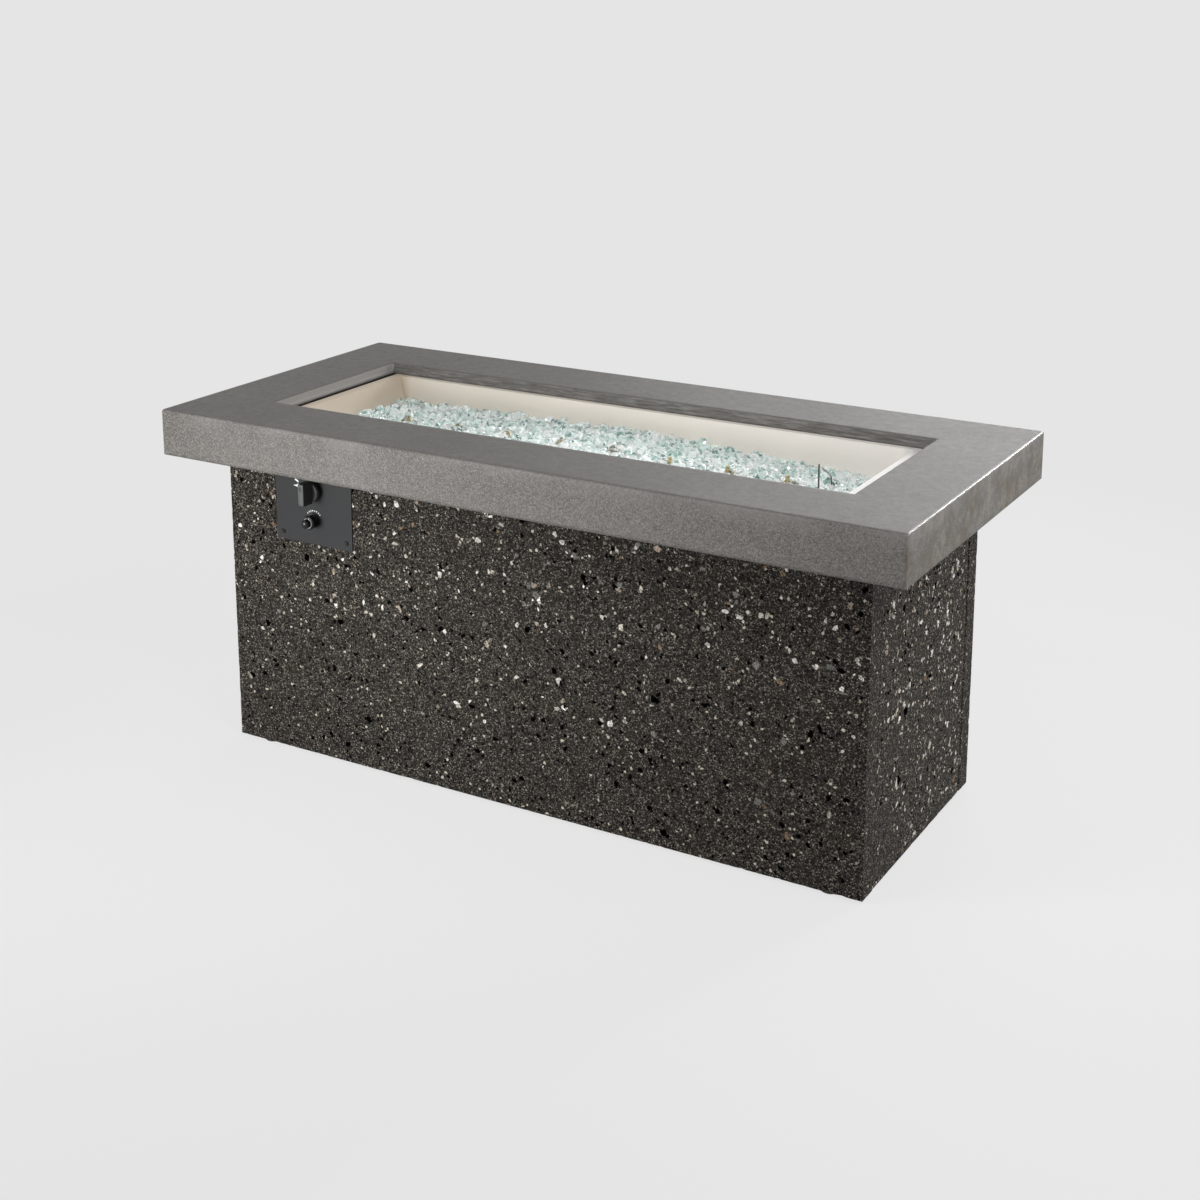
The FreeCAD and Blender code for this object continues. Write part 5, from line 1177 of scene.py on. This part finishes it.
# %% The marks
mark_white = grained("mark_white", grey(0.8), grey(0.72), 0.0008, (0.5, 0.6), 0.00001)


def raised_marks(name, outlines, face, thickness, finish):
    """Flat shapes standing on the plate's face. Each outline is a list of (x, z) points, anticlockwise."""
    points, faces = [], []
    for outline in outlines:
        outline = np.array(outline, float)
        middle = outline.mean(0)
        upper = middle + (outline - middle) * 0.9
        count, first = len(outline), sum(len(part) for part in points)
        for ring, deep in ((outline, 0.0), (upper, thickness), (middle[None], thickness)):
            points.append(np.column_stack([ring[:, 0], np.full(len(ring), face - deep), ring[:, 1]]))
        for near in range(count):
            far = (near + 1) % count
            faces.append([first + near, first + far, first + count + far, first + count + near])
            faces.append([first + count + near, first + count + far, first + 2 * count])
        faces.append([first + near for near in reversed(range(count))])
    return piece(name, np.concatenate(points), faces, finish, smooth=False)


plate_face, mark_height = plate_low.y, 0.00012
arc_radius, half_dash, half_stroke = 0.0176, 0.0013, 0.0009
dashes = []
for angle in np.radians(np.linspace(138, 42, 8)):
    outward_way = np.array((math.cos(angle), math.sin(angle)))
    sideways = np.array((-outward_way[1], outward_way[0]))
    centre = np.array((cap_middle.x, cap_middle.z)) + outward_way * arc_radius
    ways = ((-1, -1), (1, -1), (1, 1), (-1, 1))
    dashes.append([centre + outward_way * out * half_dash + sideways * side * half_stroke
                   for out, side in ways])
dash_piece = raised_marks("plate_dashes", dashes, plate_face, mark_height, mark_white)
wedges = [
    [(-0.4585, 0.5090), (-0.4500, 0.5045), (-0.4495, 0.5075), (-0.4560, 0.5110)],
    [(-0.4618, 0.4985), (-0.4510, 0.4965), (-0.4505, 0.5032), (-0.4540, 0.5005)],
]
wedge_piece = raised_marks("plate_wedges", wedges, plate_face, mark_height, mark_white)

# %% [markdown]
# ## The studio
# The floor is pale and plain. The camera, gloss and glass see mostly its own even tone, with
# a small share of the real matt floor near the table, which carries the soft shadow. A low
# soft lamp at the front left lights the front and fades towards the right, two small high
# ones light the pan's walls, one lights the right end, and the ones behind give the top
# its sheen on the right.

# %% Floor and surround
background = 0.783


def seen_directly(owner):
    """1 for rays from the camera, from gloss or through glass, and 0 for those that light the object."""
    rays = add(owner, "LightPath")
    seen = maths(owner, "MAXIMUM", rays.outputs["Is Camera Ray"], rays.outputs["Is Glossy Ray"])
    return maths(owner, "MAXIMUM", seen, rays.outputs["Is Transmission Ray"])


def studio_floor(name):
    """A matt floor. What the camera sees is an even tone with a share of the real floor near the table."""
    material = bpy.data.materials.new(name)
    material.use_nodes = True
    tree = material.node_tree
    shader = tree.nodes["Principled BSDF"]
    shader.inputs["Base Color"].default_value = grey(background)
    shader.inputs["Roughness"].default_value = 0.9
    distance = add(material, "VectorMath", operation="LENGTH")
    tree.links.new(place_of(material), distance.inputs[0])
    near_edge, far_edge = 0.9, 2.2
    share = step(material, distance.outputs["Value"], near_edge, far_edge, 0.8, 1.0)
    strength = step(material, distance.outputs["Value"], near_edge, far_edge, 1.1, 1.0)
    glow = add(material, "Emission", {"Color": grey(background), "Strength": strength})
    mix = add(material, "MixShader", {"Fac": product(material, share, seen_directly(material))})
    tree.links.new(shader.outputs[0], mix.inputs[1])
    tree.links.new(glow.outputs[0], mix.inputs[2])
    tree.links.new(mix.outputs[0], tree.nodes["Material Output"].inputs["Surface"])
    return material


floor_mesh = bpy.data.meshes.new("studio_floor")
reach = 80.0
floor_corners = [(-reach, -reach, 0), (reach, -reach, 0), (reach, reach, 0), (-reach, reach, 0)]
floor_mesh.from_pydata(floor_corners, [], [(0, 1, 2, 3)])
floor_mesh.materials.append(studio_floor("studio_floor"))
floor = bpy.data.objects.new("studio_floor", floor_mesh)
bpy.context.scene.collection.objects.link(floor)

world = bpy.data.worlds.new("surround")
bpy.context.scene.world = world
world.use_nodes = True
surround = world.node_tree.nodes["Background"]
surround.inputs["Color"].default_value = (1.0, 1.0, 1.0, 1.0)
ambient = 0.22
strength = step(world, seen_directly(world), 0.0, 1.0, ambient, background)
world.node_tree.links.new(strength, surround.inputs["Strength"])
print("floor and surround ready")

# %% Lamps


def soft_lamp(name, place, aim, size, power, spread=180.0):
    """A large soft lamp that the camera itself doesn't see. spread narrows its light, in degrees."""
    data = bpy.data.lights.new(name, "AREA")
    data.shape = "RECTANGLE"
    data.size, data.size_y = size
    data.energy = power
    data.spread = math.radians(spread)
    lamp = aimed(bpy.data.objects.new(name, data), np.array(place), np.array(aim))
    lamp.visible_camera = False
    return lamp


soft_lamp("front_left_lamp", (-0.93, -1.75, 0.5), (-0.25, -0.24, 0.44), (0.8, 0.8), 6.2, 74)
soft_lamp("high_left_lamp", (-1.3, -1.6, 2.3), (0.2, 0.0, 0.6), (0.45, 0.45), 6, 120)
soft_lamp("high_right_lamp", (1.5, -1.2, 2.2), (0.3, 0.1, 0.6), (0.4, 0.4), 5.6, 100)
soft_lamp("right_lamp", (2.7, 0.35, 0.6), (0.6, 0.0, 0.35), (1.2, 1.0), 20.5)
soft_lamp("rear_lamp", (-0.45, 3.5, 1.9), (-0.2, 0.0, 0.7), (2.6, 2.4), 34)
soft_lamp("edge_lamp", (1.6, 2.9, 1.5), (0.7, 0.0, 0.6), (0.4, 0.4), 3.2, 60)
soft_lamp("rear_right_lamp", (0.3, 3.6, 1.5), (0.0, 0.0, 0.65), (2.4, 1.6), 25.5)
print("lamps ready")

# %% Colours and the end
bpy.context.scene.view_settings.view_transform = "Standard"
